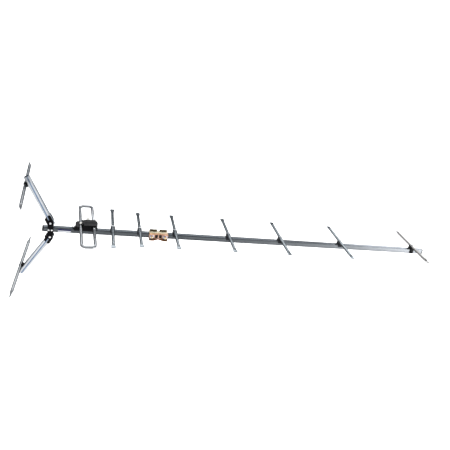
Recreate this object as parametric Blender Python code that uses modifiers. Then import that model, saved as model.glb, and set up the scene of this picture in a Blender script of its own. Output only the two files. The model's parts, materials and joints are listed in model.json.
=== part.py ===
"""UHF yagi antenna: square boom, folding V reflector, folded dipole, seven directors, mast clamp.

Metres, +Z up. +X points forward along the boom, from the reflector to the last director, and the
elements lie along Y. The origin is on the boom's axis at the middle of the mast clamp.
"""
import math

import bmesh
import bpy
from mathutils import Matrix, Vector

# ---- shared ----
GAP = 0.0003                   # air between neighbouring pieces
ROUND_STEPS = 20               # sides of a turned piece
ROD_STEPS = 12                 # sides of an element rod
OVERRUN = 0.001                # how far a cutter runs past the surface it cuts

# ---- boom ----
BOOM_SIDE = 0.015
BOOM_WALL = 0.0012
BOOM_REAR_X = -0.340
BOOM_FRONT_X = 0.930
HALF_BOOM = BOOM_SIDE / 2
BOOM_EDGE = 0.0012             # rounding of the tube's long edges
CAP_FLANGE = 0.004
CAP_SPIGOT = 0.011
LABEL_X = (-0.299, -0.262)
LABEL_HALF_HEIGHT = 0.006
LABEL_THICKNESS = 0.0003

# ---- element rods ----
ROD_RADIUS = 0.00475
FLAT_HALF_WIDTH = 0.0068       # pressed flat ends of the rods
FLAT_HALF_THICKNESS = 0.0011
FLAT_LENGTH = 0.010
FLAT_TAPER = 0.014
DIRECTOR_X = (-0.140, -0.059, 0.051, 0.224, 0.400, 0.614, 0.889)
DIRECTOR_LENGTH = (0.254, 0.226, 0.226, 0.226, 0.226, 0.226, 0.228)
DIRECTOR_HEIGHT = 0.0092       # rod's axis above the boom's top face
CLIP_HALF_LENGTH = 0.0068      # along the boom
CLIP_WALL = 0.002
CLIP_LIP = 0.0008              # how far the cradle reaches past the rod's axis
CLIP_SKIRT = 0.0065            # how far the saddle comes down the boom's sides
FRONT_CLIP_SKIRT = 0.0145      # the foremost clip grips the whole side
RIVET_RADIUS = 0.0016
RIVET_HEAD_RADIUS = 0.0034
RIVET_HEAD_HEIGHT = 0.002
RIVET_TAIL_RADIUS = 0.0026
RIVET_TAIL_HEIGHT = 0.002

# ---- reflector ----
PIVOT_X = -0.321
PIVOT_Z = 0.0226
LOBE_ANGLE = math.radians(62)  # between a bracket lobe and the boom's rearward direction
ARM_ANGLE = {"upper": math.radians(64), "lower": math.radians(59)}
ROD_TURN = {"upper": math.radians(-3), "lower": math.radians(-8.5)}   # about the rod's rivet
ARM_END = 0.155                # pivot to the arm's open end
ARM_TAIL = 0.009
ARM_GROOVE_WIDTH = 0.0032
ARM_GROOVE_DEPTH = 0.0006
ROD_STATION = 0.134            # pivot to the reflector rod
REFLECTOR_ROD_HEIGHT = 0.0072  # rod's axis above the arm's inner face
REFLECTOR_ROD_LENGTH = 0.290
CRADLE_HALF = 0.0075
PLATE_THICKNESS = 0.003
PLATE_EDGE = 0.0006
WAIST_HALF = 0.0087
LOBE_HALF = 0.0103
LOBE_REACH_FRONT = 0.0252
LOBE_REACH_REAR = 0.0185
SLOT_HALF = 0.00225
SLOT_START = 0.008
BOSS_RADIUS = 0.0062
BOSS_HEIGHT = 0.0012
BRACKET_RIVET_SPACING = 0.009
BRACKET_RIVET_RADIUS = 0.0018
BRACKET_RIVET_HEAD = 0.0028
PIN_RADIUS = 0.0022
PIN_HEAD_RADIUS = 0.0033
PIN_HEAD_HEIGHT = 0.0018

# ---- folded dipole, laid out square to the boom and then turned about its box screw ----
DIPOLE_TURN = math.radians(3.1)
LOOP_X = (-0.2346, -0.1966)    # continuous side, fed side
LOOP_HALF_LENGTH = 0.134
LOOP_CORNER = 0.013
LOOP_HEIGHT = 0.0171           # loop's axis above the boom's axis
FEED_HALF_GAP = 0.009
BOX_X = (-0.2500, -0.1850)
BOX_HALF_DEPTH = 0.0205
BOX_SHOULDER_X = (-0.2440, -0.1905)
BOX_NOSE_HALF = (0.012, 0.004)
BOX_TOP = 0.024
BOX_WALL = 0.002
BOX_REAR_TOP = 0.0205
CHANNEL_FLOOR = 0.0120
ROOM_REAR_X = -0.2275          # inside of the connection box
ROOM_HALF_DEPTH = 0.0180
SADDLE_X = (-0.2535, -0.1905)
SADDLE_DROP = 0.0045
LID_THICKNESS = 0.002
LID_REAR_X = -0.2258
LID_AXIS = Vector((-0.2288, 0.0, 0.0265))
KNUCKLE_RADIUS = 0.0022
KNUCKLE_LENGTH = 0.008         # half length of the lid's middle knuckle
HINGE_PIN_RADIUS = 0.001
SCREW_RADIUS = 0.0016
BOX_SCREW_X = -0.2541
TERMINAL_Y = 0.013
BOARD_X = (-0.2255, -0.2035)
BOARD_HALF_DEPTH = 0.0140
BOARD_Z = (0.013, 0.0146)
COAX_X = -0.213
COAX_Z = 0.0172
COAX_RADIUS = 0.0047
COAX_END_Y = 0.044

# ---- mast clamp ----
CLAMP_HALF_LENGTH = 0.029
STEEL = 0.002
CLAMP_HALF_HEIGHT = 0.0106
JAW_DEPTH = 0.0135             # how far the flanges stand out from the boom's side
NOTCH_FLOOR = 0.0120           # V's bottom, from the boom's axis
NOTCH_HALF_WIDTH = 0.015
NOTCH_TEETH = 4
TOOTH = 0.0012
WINDOW_X = 0.0062
WINDOW_HALF = (0.0046, 0.0056)
BOLT_X = 0.021
BOLT_RADIUS = 0.003
BOLT_END_Y = -0.0208
STRAP_HALF_HEIGHT = 0.0094
STRAP_LIP_Y = -0.0065
EAR_X = (0.0035, 0.0275)
EAR_TOP = 0.0150
WASHER_RADIUS = 0.0065
WASHER_THICKNESS = 0.0016
NUT_RADIUS = 0.0058
NUT_HEIGHT = 0.005


# ---------------------------------------------------------------- scene and materials

def clear_scene():
    for obj in list(bpy.data.objects):
        bpy.data.objects.remove(obj, do_unlink=True)


def add_collection(name):
    collection = bpy.data.collections.new(name)
    bpy.context.scene.collection.children.link(collection)
    return collection


def make_material(name, colour, roughness, metallic):
    material = bpy.data.materials.new(name)
    material.use_nodes = True
    shader = material.node_tree.nodes["Principled BSDF"]
    shader.inputs["Base Color"].default_value = (*colour, 1.0)
    shader.inputs["Roughness"].default_value = roughness
    shader.inputs["Metallic"].default_value = metallic
    return material


clear_scene()
PARTS = add_collection("yagi_antenna")
CUTTERS = add_collection("cutters")
MATERIALS = {
    "boom_metal": make_material("boom_metal", (0.13, 0.14, 0.15), 0.38, 0.9),
    "arm_metal": make_material("arm_metal", (0.55, 0.60, 0.66), 0.30, 0.95),
    "rod_metal": make_material("rod_metal", (0.42, 0.45, 0.47), 0.33, 0.95),
    "loop_metal": make_material("loop_metal", (0.50, 0.53, 0.55), 0.30, 0.95),
    "black_plastic": make_material("black_plastic", (0.012, 0.012, 0.013), 0.42, 0.0),
    "clip_plastic": make_material("clip_plastic", (0.045, 0.048, 0.052), 0.5, 0.0),
    "rivet_metal": make_material("rivet_metal", (0.75, 0.75, 0.76), 0.28, 1.0),
    "clamp_zinc": make_material("clamp_zinc", (0.72, 0.48, 0.24), 0.32, 1.0),
    "bolt_zinc": make_material("bolt_zinc", (0.62, 0.45, 0.20), 0.3, 1.0),
    "nut_zinc": make_material("nut_zinc", (0.60, 0.64, 0.72), 0.28, 1.0),
    "coax_nickel": make_material("coax_nickel", (0.70, 0.68, 0.64), 0.25, 1.0),
    "board_green": make_material("board_green", (0.03, 0.16, 0.06), 0.5, 0.0),
    "ferrite": make_material("ferrite", (0.06, 0.06, 0.065), 0.6, 0.1),
    "label_film": make_material("label_film", (0.75, 0.76, 0.80), 0.35, 0.0),
}


# ---------------------------------------------------------------- frames and placing

def add_frame(name, origin, x_axis, y_axis, parent=None):
    """An empty whose axes carry a sub-assembly; z is x cross y. Given in the parent's own axes."""
    x_axis = Vector(x_axis).normalized()
    y_axis = Vector(y_axis).normalized()
    z_axis = x_axis.cross(y_axis)
    matrix = Matrix((x_axis, y_axis, z_axis)).transposed().to_4x4()
    matrix.translation = Vector(origin)
    empty = bpy.data.objects.new(name, None)
    PARTS.objects.link(empty)
    empty.parent = parent
    empty.matrix_basis = matrix
    return empty


def add_mesh_object(name, bm, collection, parent=None):
    mesh = bpy.data.meshes.new(name)
    bm.to_mesh(mesh)
    bm.free()
    obj = bpy.data.objects.new(name, mesh)
    collection.objects.link(obj)
    obj.parent = parent
    return obj


def finish_part(obj, slot, sharp_degrees=32):
    obj.data.materials.clear()
    obj.data.materials.append(MATERIALS[slot])
    obj.data.shade_smooth()
    obj.data.set_sharp_from_angle(angle=math.radians(sharp_degrees))
    return obj


def hide_cutter(obj):
    obj.hide_render = True
    obj.display_type = "WIRE"
    return obj


# ---------------------------------------------------------------- shapes

def box_into(bm, corner, opposite):
    corner, opposite = Vector(corner), Vector(opposite)
    size = [abs(length) for length in opposite - corner]
    place = Matrix.Translation((corner + opposite) / 2) @ Matrix.Diagonal((*size, 1.0))
    bmesh.ops.create_cube(bm, size=1.0, matrix=place)


def cylinder_into(bm, start, end, radius, steps=ROUND_STEPS):
    start, end = Vector(start), Vector(end)
    along = end - start
    turn = along.to_track_quat("Z", "Y").to_matrix().to_4x4()
    place = Matrix.Translation((start + end) / 2) @ turn
    bmesh.ops.create_cone(bm, cap_ends=True, segments=steps, radius1=radius, radius2=radius,
                          depth=along.length, matrix=place)


def box(name, corner, opposite, parent=None, collection=None):
    bm = bmesh.new()
    box_into(bm, corner, opposite)
    return add_mesh_object(name, bm, collection or PARTS, parent)


def cutter(name, shapes, parent=None):
    """One cutter from boxes ("box", low, high) and cylinders ("rod", start, end, radius)."""
    bm = bmesh.new()
    for kind, *values in shapes:
        if kind == "box":
            box_into(bm, *values)
        else:
            cylinder_into(bm, *values)
    return hide_cutter(add_mesh_object("cut_" + name, bm, CUTTERS, parent))


def boolean(obj, other, operation="DIFFERENCE"):
    modifier = obj.modifiers.new(operation.title() + " " + other.name, "BOOLEAN")
    modifier.object = other
    modifier.operation = operation
    modifier.solver = "EXACT"
    return modifier


def cut(obj, shapes):
    boolean(obj, cutter(obj.name + "_" + str(len(obj.modifiers)), shapes, obj.parent))


def join(obj, shapes):
    """Adds boxes and cylinders to a part, one union each."""
    for shape in shapes:
        boolean(obj, cutter(obj.name + "_" + str(len(obj.modifiers)), [shape], obj.parent), "UNION")


def bevel(obj, width, segments=2, angle_degrees=40):
    modifier = obj.modifiers.new("Bevel", "BEVEL")
    modifier.width = width
    modifier.segments = segments
    modifier.limit_method = "ANGLE"
    modifier.angle_limit = math.radians(angle_degrees)
    return modifier


def rounded_outline(corners, steps=5):
    """Corners are (u, v, radius); each becomes an arc tangent to its two sides."""
    points = []
    count = len(corners)
    for index, (u, v, radius) in enumerate(corners):
        corner = Vector((u, v))
        before = (Vector(corners[index - 1][:2]) - corner).normalized()
        after = (Vector(corners[(index + 1) % count][:2]) - corner).normalized()
        if radius <= 0:
            points.append(corner)
            continue
        half = before.angle(after) / 2
        reach = radius / math.tan(half)
        centre = corner + (before + after).normalized() * (radius / math.sin(half))
        first = corner + before * reach - centre
        last = corner + after * reach - centre
        sweep = first.angle_signed(last)
        for step in range(steps + 1):
            arm = first.copy()
            arm.rotate(Matrix.Rotation(-sweep * step / steps, 2))
            points.append(centre + arm)
    return points


def curve_to_mesh(name, curve_data, place=Matrix.Identity(4), collection=None, parent=None):
    """Turns a curve into a closed mesh object, with whole flat faces, and removes the curve."""
    curve = bpy.data.objects.new(name + "_curve", curve_data)
    PARTS.objects.link(curve)
    bpy.context.view_layer.update()
    evaluated = curve.evaluated_get(bpy.context.evaluated_depsgraph_get())
    bm = bmesh.new()
    bm.from_mesh(bpy.data.meshes.new_from_object(evaluated))
    bmesh.ops.remove_doubles(bm, verts=bm.verts, dist=1e-6)
    bmesh.ops.dissolve_limit(bm, angle_limit=math.radians(0.5), verts=[], edges=bm.edges)
    bmesh.ops.recalc_face_normals(bm, faces=bm.faces)
    bpy.data.objects.remove(curve, do_unlink=True)
    obj = add_mesh_object(name, bm, collection or PARTS, parent)
    obj.matrix_basis = place
    return obj


def plate(name, outline, low, high, matrix, edge=0.0, parent=None, collection=None):
    """A flat outline in the matrix's xy plane, from z = low to z = high, its rims eased."""
    data = bpy.data.curves.new(name, "CURVE")
    data.dimensions = "2D"
    data.fill_mode = "BOTH"
    data.extrude = (high - low) / 2
    spline = data.splines.new("POLY")
    spline.points.add(len(outline) - 1)
    for point, (u, v) in zip(spline.points, outline):
        point.co = (u, v, 0.0, 1.0)
    spline.use_cyclic_u = True
    place = matrix @ Matrix.Translation((0, 0, (low + high) / 2))
    obj = curve_to_mesh(name, data, place, collection, parent)
    if edge:
        bevel(obj, edge, 1, 60)
    return obj


def turned(name, profile, base, direction, parent=None, steps=ROUND_STEPS):
    """Turns (radius, height) points, listed from the top down, about an axis from base."""
    bm = bmesh.new()
    verts = [bm.verts.new((radius, 0.0, height)) for radius, height in profile]
    for first, second in zip(verts, verts[1:]):
        bm.edges.new((first, second))
    obj = add_mesh_object(name, bm, PARTS, parent)
    screw = obj.modifiers.new("Screw", "SCREW")
    screw.axis = "Z"
    screw.steps = steps
    screw.render_steps = steps
    screw.use_merge_vertices = True
    screw.merge_threshold = 1e-6
    obj.rotation_mode = "QUATERNION"
    obj.rotation_quaternion = Vector(direction).to_track_quat("Z", "Y")
    obj.location = base
    return obj


def dome_points(radius, low, height, steps=3):
    """A low domed head, from its crown down to its rim."""
    return [(radius * math.sin(math.pi / 2 * step / steps),
             low + height * math.cos(math.pi / 2 * step / steps)) for step in range(steps + 1)]


def rivet(name, grip, shank, head, head_height, tail, tail_height, base, direction, parent=None):
    """A set rivet: dome head above the grip, flat tail under it. Base is at the tail's inner face."""
    profile = dome_points(head, grip, head_height)
    profile += [(shank, grip), (shank, 0.0), (tail, 0.0), (tail * 0.86, -tail_height)]
    profile.append((0.0, -tail_height))
    obj = turned(name, profile, base, direction, parent, 16)
    return finish_part(obj, "rivet_metal")


def upright_screw(name, grip, head, head_height, tip, parent=None):
    """A pan-head screw pointing down, grip long from its tip to its head."""
    profile = dome_points(head, grip, head_height)
    profile += [(SCREW_RADIUS, grip), (SCREW_RADIUS, 0.0008), (SCREW_RADIUS * 0.5, 0.0), (0.0, 0.0)]
    return finish_part(turned(name, profile, tip, (0, 0, 1), parent, 16), "rivet_metal")


# ---------------------------------------------------------------- element rods and clips

def rod_half(length):
    """Half a rod along +Y, open at the middle, with its end pressed flat."""
    half = length / 2
    wide_end = FLAT_HALF_WIDTH / ROD_RADIUS
    thin_end = FLAT_HALF_THICKNESS / ROD_RADIUS
    stations = (
        (half - FLAT_LENGTH - FLAT_TAPER, 1.0, 1.0),
        (half - FLAT_LENGTH - FLAT_TAPER * 0.6, 1.12, 0.78),
        (half - FLAT_LENGTH - FLAT_TAPER * 0.25, 1.36, 0.42),
        (half - FLAT_LENGTH, wide_end, thin_end),
        (half - 0.0015, wide_end, thin_end),
        (half, wide_end * 0.8, thin_end * 0.8),
    )
    bm = bmesh.new()
    upright = Matrix.Rotation(math.radians(-90), 4, "X")
    ring = bmesh.ops.create_circle(bm, segments=ROD_STEPS, radius=ROD_RADIUS, matrix=upright)
    edges = list({edge for vert in ring["verts"] for edge in vert.link_edges})
    wide_before = thin_before = 1.0
    for reach, wide, thin in stations:
        grown = bmesh.ops.extrude_edge_only(bm, edges=edges)["geom"]
        verts = {item for item in grown if isinstance(item, bmesh.types.BMVert)}
        edges = [item for item in grown
                 if isinstance(item, bmesh.types.BMEdge) and verts.issuperset(item.verts)]
        for vert in verts:
            vert.co = (vert.co.x * wide / wide_before, reach, vert.co.z * thin / thin_before)
        wide_before, thin_before = wide, thin
    bmesh.ops.contextual_create(bm, geom=edges)
    bmesh.ops.recalc_face_normals(bm, faces=bm.faces)
    outer = max(bm.faces, key=lambda face: face.calc_center_median().x)
    if outer.normal.x < 0:
        bmesh.ops.reverse_faces(bm, faces=bm.faces)
    return bm


def element_rod(name, length, centre, parent=None):
    """A rod across the boom with pressed flat ends and a rivet hole through its middle."""
    rod = add_mesh_object(name, rod_half(length), PARTS, parent)
    rod.location = centre
    mirror = rod.modifiers.new("Mirror", "MIRROR")
    mirror.use_axis = (False, True, False)
    mirror.merge_threshold = 1e-6
    hole = ("rod", (centre[0], centre[1], centre[2] - ROD_RADIUS - OVERRUN),
            (centre[0], centre[1], centre[2] + ROD_RADIUS + OVERRUN), RIVET_RADIUS + GAP, 12)
    cut(rod, [hole])
    return finish_part(rod, "rod_metal")


def director_clip(name, x, skirt):
    """A saddle pressed over the boom, with an open cradle on top that holds the rod."""
    top = HALF_BOOM + DIRECTOR_HEIGHT
    outer = HALF_BOOM + GAP + CLIP_WALL
    clip = box(name, (x - CLIP_HALF_LENGTH, -outer, HALF_BOOM - skirt),
               (x + CLIP_HALF_LENGTH, outer, HALF_BOOM + 0.0035))
    bevel(clip, 0.0007)
    post = ("box", (x - CLIP_HALF_LENGTH * 0.98, -outer * 0.78, HALF_BOOM + 0.0005),
            (x + CLIP_HALF_LENGTH * 0.98, outer * 0.78, top + CLIP_LIP))
    join(clip, [post])
    inner = HALF_BOOM + GAP
    cut(clip, [
        ("box", (x - BOOM_SIDE, -inner, -BOOM_SIDE), (x + BOOM_SIDE, inner, inner)),
        ("rod", (x, -2 * outer, top), (x, 2 * outer, top), ROD_RADIUS + GAP),
    ])
    cut(clip, [("rod", (x, 0.0, HALF_BOOM - OVERRUN), (x, 0.0, top), RIVET_RADIUS + GAP)])
    return finish_part(clip, "black_plastic" if skirt > BOOM_SIDE / 2 else "clip_plastic")


def rod_rivet(name, centre, wall_face, parent=None):
    """The blind rivet through a rod into a tube wall whose outer face is at height wall_face."""
    tail_face = wall_face - BOOM_WALL - GAP
    grip = centre[2] + ROD_RADIUS + GAP - tail_face
    rivet(name, grip, RIVET_RADIUS, RIVET_HEAD_RADIUS, RIVET_HEAD_HEIGHT, RIVET_TAIL_RADIUS,
          RIVET_TAIL_HEIGHT, (centre[0], centre[1], tail_face), (0, 0, 1), parent)


# ---------------------------------------------------------------- boom

def square_tube(name, start_x, end_x, slot, parent=None):
    """A square tube along X with rounded long edges, open at both ends."""
    tube = box(name, (start_x, -HALF_BOOM, -HALF_BOOM), (end_x, HALF_BOOM, HALF_BOOM), parent)
    for edge in tube.data.edges:
        first, last = (tube.data.vertices[index].co for index in edge.vertices)
        if abs(first.x - last.x) > BOOM_SIDE:
            edge.use_edge_sharp = True
    weights = tube.data.attributes.new("bevel_weight_edge", "FLOAT", "EDGE")
    for edge, weight in zip(tube.data.edges, weights.data):
        first, last = (tube.data.vertices[index].co for index in edge.vertices)
        weight.value = 1.0 if abs(first.x - last.x) > BOOM_SIDE else 0.0
    rounding = tube.modifiers.new("Bevel", "BEVEL")
    rounding.limit_method = "WEIGHT"
    rounding.width = BOOM_EDGE
    rounding.segments = 3
    inner = HALF_BOOM - BOOM_WALL
    cut(tube, [("box", (start_x - OVERRUN, -inner, -inner), (end_x + OVERRUN, inner, inner))])
    return finish_part(tube, slot)


def boom():
    tube = square_tube("boom_tube", BOOM_REAR_X, BOOM_FRONT_X, "boom_metal")
    top_hole_low = HALF_BOOM - BOOM_WALL - OVERRUN
    top_hole_high = HALF_BOOM + OVERRUN
    holes = [("rod", (x, 0.0, top_hole_low), (x, 0.0, top_hole_high), RIVET_RADIUS + GAP, 12)
             for x in (*DIRECTOR_X, BOX_SCREW_X)]
    for x, radius in ((PIVOT_X - BRACKET_RIVET_SPACING / 2, BRACKET_RIVET_RADIUS),
                      (PIVOT_X + BRACKET_RIVET_SPACING / 2, BRACKET_RIVET_RADIUS),
                      (-BOLT_X, BOLT_RADIUS), (BOLT_X, BOLT_RADIUS)):
        holes.append(("rod", (x, -BOOM_SIDE, 0.0), (x, BOOM_SIDE, 0.0), radius + GAP, 16))
    cut(tube, holes)


def boom_end_cap(name, face_x, outward):
    """A plastic plug: a flange over the tube's end and a spigot inside it."""
    spigot_half = HALF_BOOM - BOOM_WALL - GAP
    cap = box(name, (face_x + outward * GAP, -HALF_BOOM, -HALF_BOOM),
              (face_x + outward * (GAP + CAP_FLANGE), HALF_BOOM, HALF_BOOM))
    bevel(cap, 0.0012, 2)
    join(cap, [("box", (face_x - outward * CAP_SPIGOT, -spigot_half, -spigot_half),
                (face_x + outward * (GAP + 0.001), spigot_half, spigot_half))])
    finish_part(cap, "black_plastic")


def boom_label():
    near = -HALF_BOOM - GAP
    label = box("boom_label", (LABEL_X[0], near - LABEL_THICKNESS, -LABEL_HALF_HEIGHT),
                (LABEL_X[1], near, LABEL_HALF_HEIGHT))
    finish_part(label, "label_film")


# ---------------------------------------------------------------- folding reflector

XZ_PLANE = Matrix.Rotation(math.radians(90), 4, "X")   # outline v points up, extrusion to -Y


def bracket_outline():
    """Hourglass of two lobes, each lying along its arm and cut off across its mouth."""
    along = Vector((-math.cos(LOBE_ANGLE), math.sin(LOBE_ANGLE)))
    across = Vector((math.sin(LOBE_ANGLE), math.cos(LOBE_ANGLE)))
    pivot = Vector((0.0, PIVOT_Z))
    front_root = pivot + across * LOBE_HALF
    front_tip = front_root + along * LOBE_REACH_FRONT
    rear_tip = pivot - across * LOBE_HALF + along * LOBE_REACH_REAR
    rear_root = pivot - across * LOBE_HALF - along * 0.004
    upper = [(WAIST_HALF, 0.014, 0.006), (*front_root, 0.008), (*front_tip, 0.0042),
             (*rear_tip, 0.0036), (*rear_root, 0.006)]
    lower = [(u, -v, radius) for u, v, radius in reversed(upper)]
    return rounded_outline(upper + lower, 4)


def bracket_plate(name, side):
    """One cheek plate; side is -1 for the near one and 1 for the far one."""
    inner = HALF_BOOM + GAP
    outer = inner + PLATE_THICKNESS
    place = Matrix.Translation((PIVOT_X, 0.0, 0.0)) @ XZ_PLANE
    low, high = (inner, outer) if side < 0 else (-outer, -inner)
    cheek = plate(name, bracket_outline(), low, high, place, PLATE_EDGE)
    for sign in (1, -1):
        join(cheek, [("rod", (PIVOT_X, side * (inner + 0.001), sign * PIVOT_Z),
                      (PIVOT_X, side * (outer + BOSS_HEIGHT), sign * PIVOT_Z), BOSS_RADIUS)])
    through = (side * (inner - OVERRUN), side * (outer + BOSS_HEIGHT + OVERRUN))
    holes = [("rod", (PIVOT_X, through[0], sign * PIVOT_Z), (PIVOT_X, through[1], sign * PIVOT_Z),
              PIN_RADIUS + GAP) for sign in (1, -1)]
    holes += [("rod", (PIVOT_X + sign * BRACKET_RIVET_SPACING / 2, through[0], 0.0),
               (PIVOT_X + sign * BRACKET_RIVET_SPACING / 2, through[1], 0.0),
               BRACKET_RIVET_RADIUS + GAP, 16) for sign in (1, -1)]
    cut(cheek, holes)
    for sign in (1, -1):
        slot = box("cut_" + name + "_slot_" + ("upper" if sign > 0 else "lower"),
                   (SLOT_START, -SLOT_HALF, -outer - OVERRUN), (0.04, SLOT_HALF, outer + OVERRUN),
                   collection=CUTTERS)
        bevel(slot, 0.0012, 2)
        along = Vector((-math.cos(LOBE_ANGLE), 0.0, sign * math.sin(LOBE_ANGLE)))
        across = Vector((0.0, 1.0, 0.0)).cross(along)
        turn = Matrix((along, across, (0.0, 1.0, 0.0))).transposed().to_4x4()
        slot.matrix_world = Matrix.Translation((PIVOT_X, 0.0, sign * PIVOT_Z)) @ turn
        boolean(cheek, hide_cutter(slot))
    return finish_part(cheek, "black_plastic")


def cross_pin(name, x, z, radius, head_radius, head_height, cheek_height):
    """A headed pin along Y through both cheeks, its head on the near side."""
    reach = HALF_BOOM + GAP + PLATE_THICKNESS + cheek_height + GAP
    rivet(name, 2 * reach, radius, head_radius, head_height, head_radius * 0.8, 0.0014,
          (x, reach, z), (0, -1, 0))


def reflector_arm(name, frame):
    """A square tube hinged on the frame's origin, running out along the frame's x axis."""
    arm = square_tube(name, -ARM_TAIL, ARM_END, "arm_metal", frame)
    cut(arm, [("rod", (0.0, -BOOM_SIDE, 0.0), (0.0, BOOM_SIDE, 0.0), PIN_RADIUS + GAP)])
    cut(arm, [("rod", (ROD_STATION, 0.0, HALF_BOOM - BOOM_WALL - OVERRUN),
               (ROD_STATION, 0.0, HALF_BOOM + OVERRUN), RIVET_RADIUS + GAP, 16)])
    groove_low = HALF_BOOM - ARM_GROOVE_DEPTH
    half = ARM_GROOVE_WIDTH / 2
    cut(arm, [("box", (SLOT_START, side * groove_low, -half), (ARM_END + OVERRUN, side * BOOM_SIDE, half))
              for side in (-1, 1)])
    return arm


def reflector_side(suffix, sign):
    """One arm with its rod. The frame's z axis points to the arm's inner, rearward face."""
    angle, rod_turn = ARM_ANGLE[suffix], ROD_TURN[suffix]
    along = (-math.cos(angle), 0.0, sign * math.sin(angle))
    arm_frame = add_frame("arm_pivot_" + suffix, (PIVOT_X, 0.0, sign * PIVOT_Z), along, (0, sign, 0))
    reflector_arm("reflector_arm_" + suffix, arm_frame)
    rod_frame = add_frame("rod_pivot_" + suffix, (ROD_STATION, 0.0, HALF_BOOM),
                          (math.cos(rod_turn), math.sin(rod_turn), 0),
                          (-math.sin(rod_turn), math.cos(rod_turn), 0), arm_frame)
    top = REFLECTOR_ROD_HEIGHT
    cradle = box("reflector_cradle_" + suffix, (-CRADLE_HALF, -CRADLE_HALF, GAP),
                 (CRADLE_HALF, CRADLE_HALF, top + 0.0012), rod_frame)
    bevel(cradle, 0.0011)
    cut(cradle, [("rod", (0.0, -BOOM_SIDE, top), (0.0, BOOM_SIDE, top), ROD_RADIUS + GAP)])
    cut(cradle, [("rod", (0.0, 0.0, -OVERRUN), (0.0, 0.0, top), RIVET_RADIUS + GAP)])
    finish_part(cradle, "black_plastic")
    element_rod("reflector_rod_" + suffix, REFLECTOR_ROD_LENGTH, (0.0, 0.0, top), rod_frame)
    rod_rivet("reflector_rod_rivet_" + suffix, (ROD_STATION, 0.0, HALF_BOOM + top), HALF_BOOM, arm_frame)


# ---------------------------------------------------------------- folded dipole

def dipole_axes():
    """The dipole's own axes. Only the lips of its saddle stay in line with the boom."""
    cos, sin = math.cos(DIPOLE_TURN), math.sin(DIPOLE_TURN)
    origin = (BOX_SCREW_X * (1 - cos), -BOX_SCREW_X * sin, 0.0)
    return add_frame("dipole_axes", origin, (cos, sin, 0), (-sin, cos, 0))


def loop_path():
    """The loop's centre line, from the near feed end round both ends to the far feed end."""
    rear, fed = LOOP_X
    end = LOOP_HALF_LENGTH
    corners = [(fed, -FEED_HALF_GAP, 0.0), (fed, -end, LOOP_CORNER), (rear, -end, LOOP_CORNER),
               (rear, end, LOOP_CORNER), (fed, end, LOOP_CORNER), (fed, FEED_HALF_GAP, 0.0)]
    return rounded_outline(corners, 6)


def dipole_loop(axes):
    data = bpy.data.curves.new("dipole_loop", "CURVE")
    data.dimensions = "3D"
    data.bevel_depth = ROD_RADIUS
    data.bevel_resolution = 4
    data.use_fill_caps = True
    path = loop_path()
    spline = data.splines.new("POLY")
    spline.points.add(len(path) - 1)
    for point, (u, v) in zip(spline.points, path):
        point.co = (u, v, LOOP_HEIGHT, 1.0)
    loop = curve_to_mesh("dipole_loop", data, parent=axes)
    low, high = LOOP_HEIGHT - ROD_RADIUS - OVERRUN, LOOP_HEIGHT + ROD_RADIUS + OVERRUN
    cut(loop, [("rod", (x, y, low), (x, y, high), SCREW_RADIUS + GAP)
               for x, y in ((LOOP_X[0], 0.0), (LOOP_X[1], -TERMINAL_Y), (LOOP_X[1], TERMINAL_Y))])
    finish_part(loop, "loop_metal")


def box_outline():
    """Plan of the connection box: an octagon with blunt noses at both ends."""
    half = [(BOX_SHOULDER_X[0], BOX_HALF_DEPTH, 0.002), (BOX_X[0], BOX_NOSE_HALF[0], 0.002)]
    front = [(BOX_X[1], BOX_NOSE_HALF[1], 0.003), (BOX_SHOULDER_X[1], BOX_HALF_DEPTH, 0.002)]
    far = front + half
    return [(x, -y, radius) for x, y, radius in reversed(far)] + far


def room_outline():
    """Plan of the room inside the walls, its front following the box's nose."""
    inset = BOX_HALF_DEPTH - ROOM_HALF_DEPTH
    far = [(BOX_X[1] - inset, BOX_NOSE_HALF[1], 0.002), (BOX_SHOULDER_X[1] - inset / 2, ROOM_HALF_DEPTH, 0.002),
           (ROOM_REAR_X, ROOM_HALF_DEPTH, 0.001)]
    return rounded_outline([(x, -y, radius) for x, y, radius in reversed(far)] + far, 2)


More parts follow.
